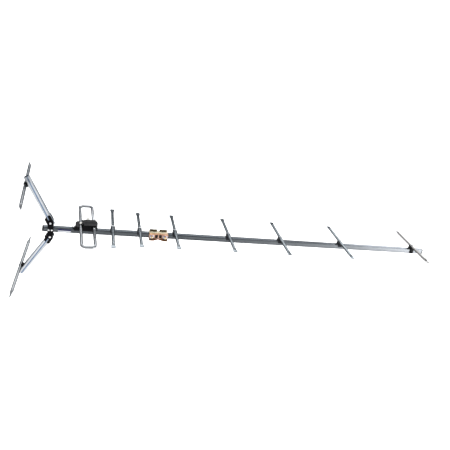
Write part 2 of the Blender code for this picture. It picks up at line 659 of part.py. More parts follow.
def dipole_box_base(axes):
    """Seat on the boom, channel for the loop's continuous side, and room for the connections."""
    seat = HALF_BOOM + GAP
    base = plate("dipole_box_base", rounded_outline(box_outline(), 3), seat, BOX_TOP,
                 Matrix.Identity(4), 0.0005, axes)
    lip_outer = seat + BOX_WALL
    lip_low = HALF_BOOM - SADDLE_DROP
    for suffix, side in (("near", -1), ("far", 1)):
        lip = ("box", (SADDLE_X[0], side * seat, lip_low), (SADDLE_X[1], side * lip_outer, seat + 0.003))
        boolean(base, cutter("dipole_box_lip_" + suffix, [lip]), "UNION")
    join(base, [("box", (SADDLE_X[0] - 0.0045, -0.0055, seat), (BOX_X[0] + 0.004, 0.0055, seat + 0.0024))])
    channel = ROD_RADIUS + GAP
    wide = BOX_HALF_DEPTH + OVERRUN
    cut(base, [("box", (LOOP_X[0] - channel, -wide, CHANNEL_FLOOR),
                (LOOP_X[0] + channel, wide, BOX_TOP + OVERRUN))])
    room = plate("cut_dipole_box_room", room_outline(), seat + BOX_WALL, BOX_TOP + OVERRUN,
                 Matrix.Identity(4), 0.0, axes, CUTTERS)
    boolean(base, hide_cutter(room))
    cut(base, [("box", (BOX_X[0] - OVERRUN, -wide, BOX_REAR_TOP),
                (LOOP_X[0] - channel + OVERRUN / 2, wide, BOX_TOP + 2 * OVERRUN))])
    for side in (-1, 1):
        inner, outer = side * TERMINAL_Y, side * wide
        cut(base, [("rod", (LOOP_X[1], inner, LOOP_HEIGHT), (LOOP_X[1], outer, LOOP_HEIGHT), channel)])
        cut(base, [("box", (LOOP_X[1] - channel, inner, LOOP_HEIGHT),
                    (LOOP_X[1] + channel, outer, BOX_TOP + 2 * OVERRUN))])
        post = ("box", (LOOP_X[1] - 0.0035, side * TERMINAL_Y - 0.0035, seat + BOX_WALL - 0.0005),
                (LOOP_X[1] + 0.0035, side * TERMINAL_Y + 0.0035, LOOP_HEIGHT - channel))
        join(base, [post])
        join(base, [("rod", (sum(BOARD_X) / 2, side * 0.012, seat + BOX_WALL - 0.0005),
                     (sum(BOARD_X) / 2, side * 0.012, BOARD_Z[0] - GAP), 0.0025)])
        knuckle = side * (KNUCKLE_LENGTH + GAP), side * (KNUCKLE_LENGTH + 0.006)
        join(base, [("box", (LID_AXIS.x - 0.0012, knuckle[0], BOX_TOP - 0.001),
                     (LID_AXIS.x + 0.0012, knuckle[1], LID_AXIS.z))])
        join(base, [("rod", (LID_AXIS.x, knuckle[0], LID_AXIS.z), (LID_AXIS.x, knuckle[1], LID_AXIS.z),
                     KNUCKLE_RADIUS)])
    cut(base, [
        ("rod", (LOOP_X[0], 0.0, seat - OVERRUN), (LOOP_X[0], 0.0, CHANNEL_FLOOR + OVERRUN), SCREW_RADIUS + GAP),
        ("rod", (BOX_SCREW_X, 0.0, seat - OVERRUN), (BOX_SCREW_X, 0.0, seat + 0.004), SCREW_RADIUS + GAP),
        ("rod", (COAX_X, ROOM_HALF_DEPTH - OVERRUN, COAX_Z), (COAX_X, wide, COAX_Z), 0.004 + GAP),
        ("rod", (LID_AXIS.x, -0.02, LID_AXIS.z), (LID_AXIS.x, 0.02, LID_AXIS.z), HINGE_PIN_RADIUS + GAP),
    ] + [("rod", (LOOP_X[1], y, seat + 0.001), (LOOP_X[1], y, LOOP_HEIGHT - channel + OVERRUN),
          SCREW_RADIUS + GAP) for y in (-TERMINAL_Y, TERMINAL_Y)])
    finish_part(base, "black_plastic")


def dipole_box_lid(axes):
    """Cover of the connection room, hinged along its straight edge beside the channel."""
    frame = add_frame("lid_hinge", LID_AXIS, (1, 0, 0), (0, 1, 0), axes)
    low = BOX_TOP + GAP - LID_AXIS.z
    high = low + LID_THICKNESS
    rear = LID_REAR_X - LID_AXIS.x
    nose = [(x - LID_AXIS.x, y, radius) for x, y, radius in box_outline()[2:6]]
    corners = [(rear, -BOX_HALF_DEPTH, 0.001)] + nose + [(rear, BOX_HALF_DEPTH, 0.001)]
    lid = plate("dipole_box_lid", rounded_outline(corners, 3), low, high, Matrix.Identity(4),
                0.0005, frame)
    reach = KNUCKLE_LENGTH
    join(lid, [("box", (0.0, -reach, low), (rear + 0.002, reach, high - 0.0003))])
    join(lid, [("rod", (0.0, -reach, 0.0), (0.0, reach, 0.0), KNUCKLE_RADIUS)])
    join(lid, [("box", (rear + 0.004, -0.0016, high - 0.0005), (BOX_X[1] - LID_AXIS.x - 0.006, 0.0016, high + 0.001))])
    fed = LOOP_X[1] - LID_AXIS.x
    for side in (-1, 1):
        inner, outer = side * (ROOM_HALF_DEPTH + GAP), side * (BOX_HALF_DEPTH - GAP)
        join(lid, [("box", (fed - ROD_RADIUS, inner, low - 0.0022), (fed + ROD_RADIUS, outer, low + 0.001))])
    cut(lid, [("rod", (0.0, -0.02, 0.0), (0.0, 0.02, 0.0), HINGE_PIN_RADIUS + GAP)])
    finish_part(lid, "black_plastic")


def dipole_fittings(axes):
    """Hinge pin, board, balun core, connector and screws of the connection box."""
    reach = KNUCKLE_LENGTH + 0.0055
    pin = turned("dipole_lid_hinge_pin",
                 [(0.0, 2 * reach), (HINGE_PIN_RADIUS, 2 * reach), (HINGE_PIN_RADIUS, 0.0), (0.0, 0.0)],
                 (LID_AXIS.x, reach, LID_AXIS.z), (0, -1, 0), axes, 12)
    finish_part(pin, "rivet_metal")
    board = box("dipole_balun_board", (BOARD_X[0], -BOARD_HALF_DEPTH, BOARD_Z[0]),
                (BOARD_X[1], BOARD_HALF_DEPTH, BOARD_Z[1]), axes)
    finish_part(board, "board_green")
    middle = sum(BOARD_X) / 2
    core_low = BOARD_Z[1] + GAP
    core = box("dipole_balun_core", (middle - 0.005, -0.008, core_low), (middle + 0.005, 0.006, core_low + 0.0058), axes)
    bevel(core, 0.0008)
    cut(core, [("rod", (middle + offset, -0.02, core_low + 0.0029), (middle + offset, 0.02, core_low + 0.0029), 0.0012)
               for offset in (-0.0024, 0.0024)])
    finish_part(core, "ferrite")
    connector = turned("dipole_coax_connector", coax_profile(), (COAX_X, ROOM_HALF_DEPTH - 0.0032, COAX_Z),
                       (0, 1, 0), axes)
    finish_part(connector, "coax_nickel")
    head_face = LOOP_HEIGHT + ROD_RADIUS + GAP
    seat = HALF_BOOM + GAP
    upright_screw("dipole_loop_screw", head_face - seat - 0.0004, 0.0042, 0.0026,
                  (LOOP_X[0], 0.0, seat + 0.0004), axes)
    for suffix, side in (("near", -1), ("far", 1)):
        tip = seat + 0.0018
        upright_screw("dipole_terminal_screw_" + suffix, head_face - tip, 0.0033, 0.0018,
                      (LOOP_X[1], side * TERMINAL_Y, tip), axes)
    tip = HALF_BOOM - BOOM_WALL - 0.003
    upright_screw("dipole_box_screw", seat + 0.0024 + GAP - tip, 0.0028, 0.0018, (BOX_SCREW_X, 0.0, tip))


def coax_profile():
    """Threaded socket with a hex-sized collar; heights run from its inner end to its mouth."""
    length = COAX_END_Y - ROOM_HALF_DEPTH + 0.0032
    wall = BOX_HALF_DEPTH - ROOM_HALF_DEPTH
    inner_collar = 0.0032 - GAP
    outer_collar = inner_collar + GAP + wall + GAP
    thread = [(COAX_RADIUS - (0.00045 if step % 2 else 0.0), length - 0.0008 - step * 0.001)
              for step in range(10)]
    return [(0.0, length - 0.009), (0.0011, length - 0.009), (0.0014, length), (COAX_RADIUS - 0.0005, length),
            *thread, (COAX_RADIUS, outer_collar + 0.0026), (0.0062, outer_collar + 0.0022),
            (0.0062, outer_collar), (0.004, outer_collar), (0.004, inner_collar), (0.0055, inner_collar),
            (0.0055, 0.0), (0.0, 0.0)]


# ---------------------------------------------------------------- mast clamp

def notch_outline():
    """The V that the mast sits in, with teeth cut into both sides; v runs out of the jaw."""
    depth = HALF_BOOM + GAP + JAW_DEPTH - NOTCH_FLOOR
    side = []
    for tooth in range(NOTCH_TEETH):
        start = tooth / NOTCH_TEETH
        for share, bite in ((start, 0.0), (start + 0.5 / NOTCH_TEETH, TOOTH)):
            side.append((NOTCH_HALF_WIDTH * share + bite * 0.5, depth * share - bite))
    side.append((NOTCH_HALF_WIDTH, depth))
    side.append((NOTCH_HALF_WIDTH, depth + OVERRUN))
    left = [(-u, v) for u, v in reversed(side[1:])]
    return [(u, v) for u, v in left + side]


def clamp_bracket():
    """Pressed channel on the boom's near side; its flanges carry the toothed V notches."""
    inner = -HALF_BOOM - GAP
    outer = inner - JAW_DEPTH
    web = inner - STEEL
    half_z = CLAMP_HALF_HEIGHT
    bracket = box("clamp_bracket", (-CLAMP_HALF_LENGTH, outer, -half_z), (CLAMP_HALF_LENGTH, inner, half_z))
    bevel(bracket, 0.0008)
    cut(bracket, [("box", (-CLAMP_HALF_LENGTH - OVERRUN, outer - OVERRUN, -half_z + STEEL),
                   (CLAMP_HALF_LENGTH + OVERRUN, web, half_z - STEEL))])
    place = Matrix.Translation((0.0, -NOTCH_FLOOR, 0.0)) @ Matrix.Diagonal((1, -1, -1, 1))
    notch = plate("cut_clamp_notch", notch_outline(), -0.02, 0.02, place, collection=CUTTERS)
    boolean(bracket, hide_cutter(notch))
    half_x, half_window = WINDOW_HALF
    cut(bracket, [("box", (x - half_x, web - OVERRUN, -half_window), (x + half_x, inner + OVERRUN, half_window))
                  for x in (-WINDOW_X, WINDOW_X)]
        + [("rod", (x, web - OVERRUN, 0.0), (x, inner + OVERRUN, 0.0), BOLT_RADIUS + GAP)
           for x in (-BOLT_X, BOLT_X)])
    finish_part(bracket, "clamp_zinc")


def clamp_strap():
    """Channel over the boom's far side, with two ears standing above its top."""
    inner = HALF_BOOM + GAP
    outer = inner + STEEL
    strap = box("clamp_strap", (-CLAMP_HALF_LENGTH, STRAP_LIP_Y, -STRAP_HALF_HEIGHT),
                (CLAMP_HALF_LENGTH, outer, STRAP_HALF_HEIGHT))
    join(strap, [("box", (side * EAR_X[0], inner, 0.0), (side * EAR_X[1], outer, EAR_TOP))
                 for side in (-1, 1)])
    bevel(strap, 0.0006)
    cut(strap, [("box", (-CLAMP_HALF_LENGTH - OVERRUN, STRAP_LIP_Y - OVERRUN, -inner),
                 (CLAMP_HALF_LENGTH + OVERRUN, inner, inner))])
    cut(strap, [("rod", (x, inner - OVERRUN, 0.0), (x, outer + OVERRUN, 0.0), BOLT_RADIUS + GAP)
                for x in (-BOLT_X, BOLT_X)])
    finish_part(strap, "clamp_zinc")


def clamp_fastener(suffix, x):
    """A domed bolt from the far side, with its washer and nut on the near side."""
    head_face = HALF_BOOM + GAP + STEEL + GAP
    length = head_face - BOLT_END_Y
    profile = dome_points(0.007, length, 0.003)
    profile += [(BOLT_RADIUS, length), (BOLT_RADIUS, 0.0006), (BOLT_RADIUS - 0.0006, 0.0), (0.0, 0.0)]
    finish_part(turned("clamp_bolt_" + suffix, profile, (x, BOLT_END_Y, 0.0), (0, 1, 0)), "bolt_zinc")
    face = -HALF_BOOM - GAP - STEEL - GAP
    bore = BOLT_RADIUS + GAP
    bm = bmesh.new()
    cylinder_into(bm, (x, face, 0.0), (x, face - WASHER_THICKNESS, 0.0), WASHER_RADIUS)
    washer = add_mesh_object("clamp_washer_" + suffix, bm, PARTS)
    cut(washer, [("rod", (x, face + OVERRUN, 0.0), (x, face - 2 * WASHER_THICKNESS, 0.0), bore)])
    finish_part(washer, "nut_zinc")
    face -= WASHER_THICKNESS + GAP
    bm = bmesh.new()
    cylinder_into(bm, (x, face, 0.0), (x, face - NUT_HEIGHT, 0.0), NUT_RADIUS, 6)
    nut = add_mesh_object("clamp_nut_" + suffix, bm, PARTS)
    bevel(nut, 0.0005, 1)
    cut(nut, [("rod", (x, face + OVERRUN, 0.0), (x, face - 2 * NUT_HEIGHT, 0.0), bore)])
    finish_part(nut, "nut_zinc")


# ---------------------------------------------------------------- assembly

boom()
boom_end_cap("boom_end_cap_rear", BOOM_REAR_X, -1)
boom_end_cap("boom_end_cap_front", BOOM_FRONT_X, 1)
boom_label()

bracket_plate("bracket_plate_near", -1)
bracket_plate("bracket_plate_far", 1)
for suffix, side in (("rear", -1), ("front", 1)):
    cross_pin("bracket_rivet_" + suffix, PIVOT_X + side * BRACKET_RIVET_SPACING / 2, 0.0,
              BRACKET_RIVET_RADIUS, BRACKET_RIVET_HEAD, 0.0016, 0.0)
for suffix, sign in (("upper", 1), ("lower", -1)):
    cross_pin("arm_pivot_pin_" + suffix, PIVOT_X, sign * PIVOT_Z, PIN_RADIUS, PIN_HEAD_RADIUS,
              PIN_HEAD_HEIGHT, BOSS_HEIGHT)
    reflector_side(suffix, sign)

dipole = dipole_axes()
dipole_loop(dipole)
dipole_box_base(dipole)
dipole_box_lid(dipole)
dipole_fittings(dipole)

for number, (x, length) in enumerate(zip(DIRECTOR_X, DIRECTOR_LENGTH), start=1):
    centre = (x, 0.0, HALF_BOOM + DIRECTOR_HEIGHT)
    last = number == len(DIRECTOR_X)
    element_rod(f"director_rod_{number}", length, centre)
    director_clip(f"director_clip_{number}", x, FRONT_CLIP_SKIRT if last else CLIP_SKIRT)
    rod_rivet(f"director_rivet_{number}", centre, HALF_BOOM)

clamp_bracket()
clamp_strap()
for suffix, side in (("rear", -1), ("front", 1)):
    clamp_fastener(suffix, side * BOLT_X)
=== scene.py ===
import json
import math

import bmesh
import bpy
import numpy as np
from mathutils import Matrix, Vector

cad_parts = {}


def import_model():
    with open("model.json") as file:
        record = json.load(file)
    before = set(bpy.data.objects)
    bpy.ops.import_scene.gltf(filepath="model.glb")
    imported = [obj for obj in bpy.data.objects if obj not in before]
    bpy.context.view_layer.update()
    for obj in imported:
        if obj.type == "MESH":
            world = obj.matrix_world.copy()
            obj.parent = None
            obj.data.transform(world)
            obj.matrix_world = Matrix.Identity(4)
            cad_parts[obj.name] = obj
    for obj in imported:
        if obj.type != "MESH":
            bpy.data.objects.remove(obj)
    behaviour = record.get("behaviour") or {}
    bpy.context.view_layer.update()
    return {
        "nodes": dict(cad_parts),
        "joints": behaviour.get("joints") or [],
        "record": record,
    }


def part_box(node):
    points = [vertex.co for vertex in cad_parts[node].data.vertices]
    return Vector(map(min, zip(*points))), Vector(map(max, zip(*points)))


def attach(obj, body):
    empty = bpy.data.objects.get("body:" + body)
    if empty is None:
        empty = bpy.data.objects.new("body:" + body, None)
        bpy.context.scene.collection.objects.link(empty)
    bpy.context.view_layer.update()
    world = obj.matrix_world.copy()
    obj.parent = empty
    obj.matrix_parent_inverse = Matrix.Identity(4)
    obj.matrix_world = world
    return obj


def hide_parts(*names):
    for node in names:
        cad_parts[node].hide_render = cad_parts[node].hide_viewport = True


# The visual model of a yagi antenna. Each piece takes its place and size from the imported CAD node
# that it stands for. Lengths are metres, X runs along the boom towards its front and Z is up.

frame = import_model()

BODIES = frame["record"]["behaviour"]["bodies"]
BODY_OF = {node: body for body, members in BODIES.items() for node in members}
SLOT_OF = {entry["node"]: entry["material_slot"] for entry in frame["record"]["subparts"]}
JOINTS = {joint["name"]: joint for joint in frame["joints"]}
DIRECTORS = sum(node.startswith("director_rod_") for node in BODY_OF)
X_AXIS, Y_AXIS, Z_AXIS = Vector((1, 0, 0)), Vector((0, 1, 0)), Vector((0, 0, 1))
DIPOLE_X = -Vector(JOINTS["lid_hinge"]["axis"]).cross(Z_AXIS)      # the dipole is turned a little
SWIVEL_AXIS = {side: Vector(JOINTS["rod_" + side + "_swivel"]["axis"]) for side in ("upper", "lower")}
TINY = 1e-6                        # slack when two lengths are compared


# ---------------------------------------------------------------- materials

class Surface:
    """A Principled material whose colour, roughness and relief come from noise in metres."""

    def __init__(self, name, colour, roughness, metallic=0.0, turn=0.0):
        self.material = bpy.data.materials.new(name)
        self.material.use_nodes = True
        self.nodes = self.material.node_tree.nodes
        self.links = self.material.node_tree.links
        self.shader = self.nodes["Principled BSDF"]
        self.shader.inputs["Metallic"].default_value = metallic
        self.roughness = roughness
        self.turn = turn
        self.coordinates = self.nodes.new("ShaderNodeTexCoord").outputs["Object"]
        self.shader.inputs["Base Color"].default_value = (*colour, 1.0)
        self.colour = None
        self.rough_value = None
        self.normal = None

    def noise(self, size, detail=3.0, roughness=0.55, distortion=0.0):
        """Noise whose features are about size metres: one number, or one for each axis."""
        place = self.nodes.new("ShaderNodeMapping")
        place.vector_type = "TEXTURE"
        place.inputs["Rotation"].default_value = (0.0, self.turn, 0.0)
        place.inputs["Scale"].default_value = (size, size, size) if isinstance(size, float) else size
        self.links.new(self.coordinates, place.inputs["Vector"])
        texture = self.nodes.new("ShaderNodeTexNoise")
        texture.inputs["Scale"].default_value = 1.0
        texture.inputs["Detail"].default_value = detail
        texture.inputs["Roughness"].default_value = roughness
        texture.inputs["Distortion"].default_value = distortion
        self.links.new(place.outputs[0], texture.inputs["Vector"])
        return texture.outputs["Fac"]

    def span(self, value, low, high, out_low=0.0, out_high=1.0):
        """Maps low to out_low and high to out_high, and holds those two beyond the ends."""
        node = self.nodes.new("ShaderNodeMapRange")
        self.links.new(value, node.inputs["Value"])
        sockets = ("From Min", "From Max", "To Min", "To Max")
        for socket, number in zip(sockets, (low, high, out_low, out_high)):
            node.inputs[socket].default_value = number
        return node.outputs[0]

    def tint(self, factor, colour):
        """Lays a colour over what is there, where factor is high."""
        node = self.nodes.new("ShaderNodeMix")
        node.data_type = "RGBA"
        self.links.new(factor, node.inputs["Factor"])
        if self.colour:
            self.links.new(self.colour, node.inputs["A"])
        else:
            node.inputs["A"].default_value = self.shader.inputs["Base Color"].default_value
        node.inputs["B"].default_value = (*colour, 1.0)
        self.colour = node.outputs["Result"]

    def vary_roughness(self, value, low, high):
        """Roughness from low to high over the middle part of a noise."""
        self.rough_value = self.span(value, 0.3, 0.7, low, high)

    def relief(self, value, depth, strength):
        """Bumps of a depth in metres, laid over any earlier ones."""
        node = self.nodes.new("ShaderNodeBump")
        node.inputs["Strength"].default_value = strength
        node.inputs["Distance"].default_value = depth
        self.links.new(value, node.inputs["Height"])
        if self.normal:
            self.links.new(self.normal, node.inputs["Normal"])
        self.normal = node.outputs["Normal"]

    def worn_edges(self, colour, low, high, amount):
        """A colour along raised edges, where the mesh's pointiness is between low and high."""
        pointed = self.nodes.new("ShaderNodeNewGeometry").outputs["Pointiness"]
        self.tint(self.span(pointed, low, high, 0.0, amount), colour)

    def upward(self):
        """1 on faces that look straight up, 0 on walls."""
        node = self.nodes.new("ShaderNodeSeparateXYZ")
        self.links.new(self.nodes.new("ShaderNodeNewGeometry").outputs["Normal"], node.inputs[0])
        return node.outputs["Z"]

    def measure(self, operation, value, vector=None):
        """A vector operation on a value, with a fixed second vector where it takes one."""
        node = self.nodes.new("ShaderNodeVectorMath")
        node.operation = operation
        self.links.new(value, node.inputs[0])
        if vector:
            node.inputs[1].default_value = vector
        return node

    def coordinate(self, axis):
        node = self.nodes.new("ShaderNodeSeparateXYZ")
        self.links.new(self.coordinates, node.inputs[0])
        return node.outputs[axis]

    def done(self):
        if self.colour:
            self.links.new(self.colour, self.shader.inputs["Base Color"])
        if self.rough_value:
            self.links.new(self.rough_value, self.shader.inputs["Roughness"])
        else:
            self.shader.inputs["Roughness"].default_value = self.roughness
        if self.normal:
            self.links.new(self.normal, self.shader.inputs["Normal"])
        return self.material


DRAWN_LINE = (0.060, 0.00035)      # length and width of the fine lines on drawn aluminium
DRAWN_BAND = (0.30, 0.0022)        # and of its broader bands
OXIDE_CLOUD, OXIDE_SPECK = 0.022, 0.0016
GRAZING_TINT = (0.40, 0.41, 0.43, 1.0)      # dims grazing reflections, so tubes have dark outlines


def run_along(axis, length, width):
    """The size, on each axis, of marks that run along one axis."""
    return tuple(length if name == axis else width for name in "XYZ")


def drawn_surface(name, colour, dark, light, roughness, along="X", turn=0.0, streak=1.0):
    """Drawn aluminium: fine lines along its length, cloudy oxide and a few brighter rubs."""
    surface = Surface(name, colour, roughness, 1.0, turn)
    lines = surface.noise(run_along(along, *DRAWN_LINE), 2.0)
    bands = surface.noise(run_along(along, *DRAWN_BAND), 1.0)
    clouds = surface.noise(OXIDE_CLOUD, 4.0)
    specks = surface.noise(OXIDE_SPECK, 3.0, 0.7)
    surface.tint(surface.span(clouds, 0.42, 0.72, 0.0, 0.55), dark)
    surface.tint(surface.span(lines, 0.55, 0.75, 0.0, 0.5 * streak), light)
    surface.tint(surface.span(bands, 0.55, 0.7, 0.0, 0.35 * streak), light)
    surface.tint(surface.span(specks, 0.70, 0.78, 0.0, 0.3), dark)
    surface.vary_roughness(lines, roughness - 0.06, roughness + 0.10)
    surface.relief(lines, 0.00003, 0.25 * streak)
    surface.shader.inputs["Specular Tint"].default_value = GRAZING_TINT
    return surface


def drawn_metal(*look, **more):
    """A drawn surface with nothing else on it, as a material."""
    return drawn_surface(*look, **more).done()


NEAR_LIGHT_FROM_Y = -0.13               # the reflector rods' painted highlight is full from here outwards on their near halves
FRONT_LIGHT_FROM_X, FRONT_LIGHT_TO_X = 0.10, 0.90     # the boom's painted highlight grows between these
CLAMP_SHADE_CLEAR, CLAMP_SHADE_FULL = 0.030, 0.026      # the painted shadow on the boom under the clamp, measured from the clamp's middle
EDGE_SHADE_START, EDGE_SHADE_FULL = 0.0118, 0.0138      # |y| + |z| where the boom's painted edge shade starts and is full


def reflector_rod_metal():
    """Smooth aluminium without lines, since these rods are turned out of every axis. Their near
    halves are painted lighter: a painted highlight for the light that they reflect."""
    surface = Surface("reflector_rod", (0.105, 0.110, 0.114), 0.30, 1.0)
    clouds = surface.noise(OXIDE_CLOUD, 4.0)
    surface.tint(surface.span(clouds, 0.42, 0.72, 0.0, 0.5), (0.085, 0.090, 0.094))
    # painted highlight: the near halves, towards -Y, are made lighter
    painted_near_light = surface.span(surface.coordinate("Y"), 0.0, NEAR_LIGHT_FROM_Y, 0.0, 0.85)
    surface.tint(painted_near_light, (0.165, 0.170, 0.175))
    surface.vary_roughness(clouds, 0.25, 0.36)
    surface.shader.inputs["Specular Tint"].default_value = GRAZING_TINT
    return surface.done()


def boom_metal():
    """The boom's drawn metal, with painted shade along its four long edges, a brown painted shadow
    where the clamp sits on it, and a painted highlight towards its front end."""
    surface = drawn_surface("boom_metal", (0.062, 0.068, 0.073), (0.036, 0.041, 0.045),
                            (0.112, 0.121, 0.129), 0.30)
    size = surface.measure("ABSOLUTE", surface.coordinates).outputs["Vector"]
    # painted shadow: dark brown on the boom where the clamp covers it
    reach = surface.measure("DOT_PRODUCT", size, X_AXIS).outputs["Value"]
    surface.tint(surface.span(reach, CLAMP_SHADE_CLEAR, CLAMP_SHADE_FULL, 0.0, 0.85), (0.016, 0.010, 0.006))
    # painted shade: the boom's rounded long edges darker, for the dark that they reflect
    spread = surface.measure("DOT_PRODUCT", size, Y_AXIS + Z_AXIS).outputs["Value"]
    surface.tint(surface.span(spread, EDGE_SHADE_START, EDGE_SHADE_FULL, 0.0, 0.85), (0.018, 0.020, 0.024))
    # painted highlight: the boom lighter towards its front end
    brighter = surface.span(surface.coordinate("X"), FRONT_LIGHT_FROM_X, FRONT_LIGHT_TO_X, 0.0, 0.66)
    surface.tint(brighter, (0.165, 0.172, 0.182))
    return surface.done()


def moulded_plastic(name, colour, light, roughness):
    """Moulded plastic: fine eroded grain, rubbed edges and a little dust in broad patches."""
    surface = Surface(name, colour, roughness)
    grain = surface.noise(0.00045, 2.0, 0.6)
    patches = surface.noise(0.012, 3.0)
    surface.tint(surface.span(patches, 0.50, 0.80, 0.0, 0.22), light)
    surface.worn_edges(light, 0.53, 0.62, 0.35)
    surface.vary_roughness(patches, roughness - 0.07, roughness + 0.09)
    surface.relief(grain, 0.00006, 0.45)
    surface.shader.inputs["Specular IOR Level"].default_value = 0.04
    return surface.done()


def plated_steel(name, colour, first, second, third, roughness, wear=0.5, top=None):
    """Passivated zinc: colours drift from one tint to the next, with crystalline speckle."""
    surface = Surface(name, colour, roughness, 1.0)
    drift = surface.noise(0.017, 2.0, 0.5, 0.6)
    cross = surface.noise(0.009, 3.0, 0.5, 1.2)
    speckle = surface.noise(0.0007, 3.0, 0.75)
    surface.tint(surface.span(drift, 0.40, 0.62), first)
    surface.tint(surface.span(cross, 0.52, 0.70, 0.0, 0.75), second)
    surface.tint(surface.span(drift, 0.60, 0.75, 0.0, 0.5), third)
    surface.tint(surface.span(speckle, 0.62, 0.75, 0.0, wear / 2), (0.85, 0.78, 0.66))
    surface.worn_edges((0.85, 0.82, 0.75), 0.52, 0.60, wear)
    # top is painted shade: a dark colour laid on faces that look up, for the dark that they reflect
    if top:
        surface.tint(surface.span(surface.upward(), 0.5, 0.9, 0.0, 0.8), top)
    surface.vary_roughness(cross, roughness - 0.05, roughness + 0.12)
    surface.relief(speckle, 0.00003, 0.3)
    return surface.done()


def cast_or_turned(name, colour, dark, roughness, metallic=1.0):
    """Small bright hardware: turned or stamped, slightly dulled in patches."""
    surface = Surface(name, colour, roughness, metallic)
    patches = surface.noise(0.0045, 3.0)
    specks = surface.noise(0.0006, 2.0, 0.7)
    surface.tint(surface.span(patches, 0.45, 0.72, 0.0, 0.5), dark)
    surface.tint(surface.span(specks, 0.62, 0.72, 0.0, 0.35), dark)
    surface.vary_roughness(patches, roughness - 0.05, roughness + 0.12)
    surface.relief(specks, 0.00002, 0.3)
    return surface.done()


def label_film(name, low, high):
    """Printed film: slate over a navy band over white, ruled off in pale grey. No words."""
    surface = Surface(name, (0.50, 0.51, 0.54), 0.32)
    rise = surface.span(surface.coordinate("Z"), low.z, high.z)
    surface.tint(surface.span(rise, 0.43, 0.435), (0.004, 0.005, 0.042))
    surface.tint(surface.span(rise, 0.84, 0.845), (0.045, 0.050, 0.060))
    surface.tint(surface.span(rise, 0.13, 0.12), (0.13, 0.14, 0.17))
    surface.tint(surface.span(surface.noise(0.004, 4.0), 0.55, 0.75, 0.0, 0.12), (0.45, 0.46, 0.50))
    surface.vary_roughness(surface.noise(0.006), 0.25, 0.42)
    surface.shader.inputs["Specular IOR Level"].default_value = 0.15
    return surface.done()


# each arm's angle from the boom, for the lines that run along it
ARM_TILT = {side: math.atan2(-axis.x, abs(axis.z)) for side, axis in SWIVEL_AXIS.items()}


def arm_metal(side, sign):
    """Drawn arm: pale, with painted shade down its groove as a blue line, and painted shade along its long
    edges.
    """
    surface = drawn_surface("arm_metal_" + side, (0.42, 0.43, 0.445), (0.29, 0.305, 0.325),
                            (0.58, 0.59, 0.61), 0.25, turn=sign * ARM_TILT[side])
    across = surface.measure("DOT_PRODUCT", surface.coordinates, SWIVEL_AXIS[side]).outputs["Value"]
    centre = Vector(JOINTS["arm_" + side + "_fold"]["pos_m"]).dot(SWIVEL_AXIS[side])
    size = surface.nodes.new("ShaderNodeMath")
    size.operation = "ABSOLUTE"
    surface.links.new(surface.span(across, centre - 1.0, centre + 1.0, -1.0, 1.0), size.inputs[0])
    away = size.outputs[0]
    # painted shade: a blue line down the groove
    groove_shade = surface.span(away, 0.0019, 0.0015, 0.0, 0.9)
    surface.tint(groove_shade, (0.10, 0.16, 0.26))
    # painted shade: the arm's long edges darker, for the dark that they reflect
    arm_edge_shade = surface.span(away, 0.0058, 0.0068, 0.0, 0.6)
    surface.tint(arm_edge_shade, (0.13, 0.15, 0.17))
    return surface.done()


# one look for each material slot of the record
LOOKS = {
    "boom_metal": boom_metal(),
    "rod_metal": drawn_metal("rod_metal", (0.115, 0.126, 0.134), (0.066, 0.073, 0.079),
                             (0.165, 0.178, 0.186), 0.22, "Y", streak=0.4),
    "loop_metal": drawn_metal("loop_metal", (0.225, 0.232, 0.24), (0.13, 0.135, 0.14),
                              (0.31, 0.32, 0.33), 0.23, "Y", streak=0.3),
    "black_plastic": moulded_plastic("black_plastic", (0.0020, 0.0020, 0.0026),
                                     (0.011, 0.0115, 0.0135), 0.38),
    "clip_plastic": moulded_plastic("clip_plastic", (0.012, 0.013, 0.015), (0.036, 0.039, 0.043), 0.46),
    "rivet_metal": cast_or_turned("rivet_metal", (0.66, 0.66, 0.67), (0.40, 0.405, 0.415), 0.30),
    # clamp_zinc's last colour is the painted shade on its upward faces
    "clamp_zinc": plated_steel("clamp_zinc", (0.38, 0.165, 0.055), (0.44, 0.19, 0.14), (0.10, 0.075, 0.03),
                               (0.56, 0.33, 0.30), 0.42, 0.25, (0.13, 0.085, 0.04)),
    "bolt_zinc": plated_steel("bolt_zinc", (0.60, 0.38, 0.11), (0.66, 0.46, 0.18), (0.34, 0.24, 0.08),
                              (0.70, 0.52, 0.30), 0.28),
    "nut_zinc": plated_steel("nut_zinc", (0.56, 0.62, 0.74), (0.66, 0.70, 0.82), (0.38, 0.44, 0.58),
                             (0.78, 0.78, 0.72), 0.24),
    "coax_nickel": cast_or_turned("coax_nickel", (0.42, 0.41, 0.39), (0.24, 0.23, 0.22), 0.26),
    "board_green": cast_or_turned("board_green", (0.020, 0.14, 0.045), (0.012, 0.09, 0.03), 0.38, 0.0),
    "ferrite": cast_or_turned("ferrite", (0.050, 0.050, 0.054), (0.03, 0.03, 0.032), 0.55, 0.0),
    "label_film": label_film("label_film", *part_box("boom_label")),
}

# looks for single pieces, where the photograph shows more than one finish in a slot
ARM_LOOK = {side: arm_metal(side, sign) for side, sign in (("upper", 1), ("lower", -1))}
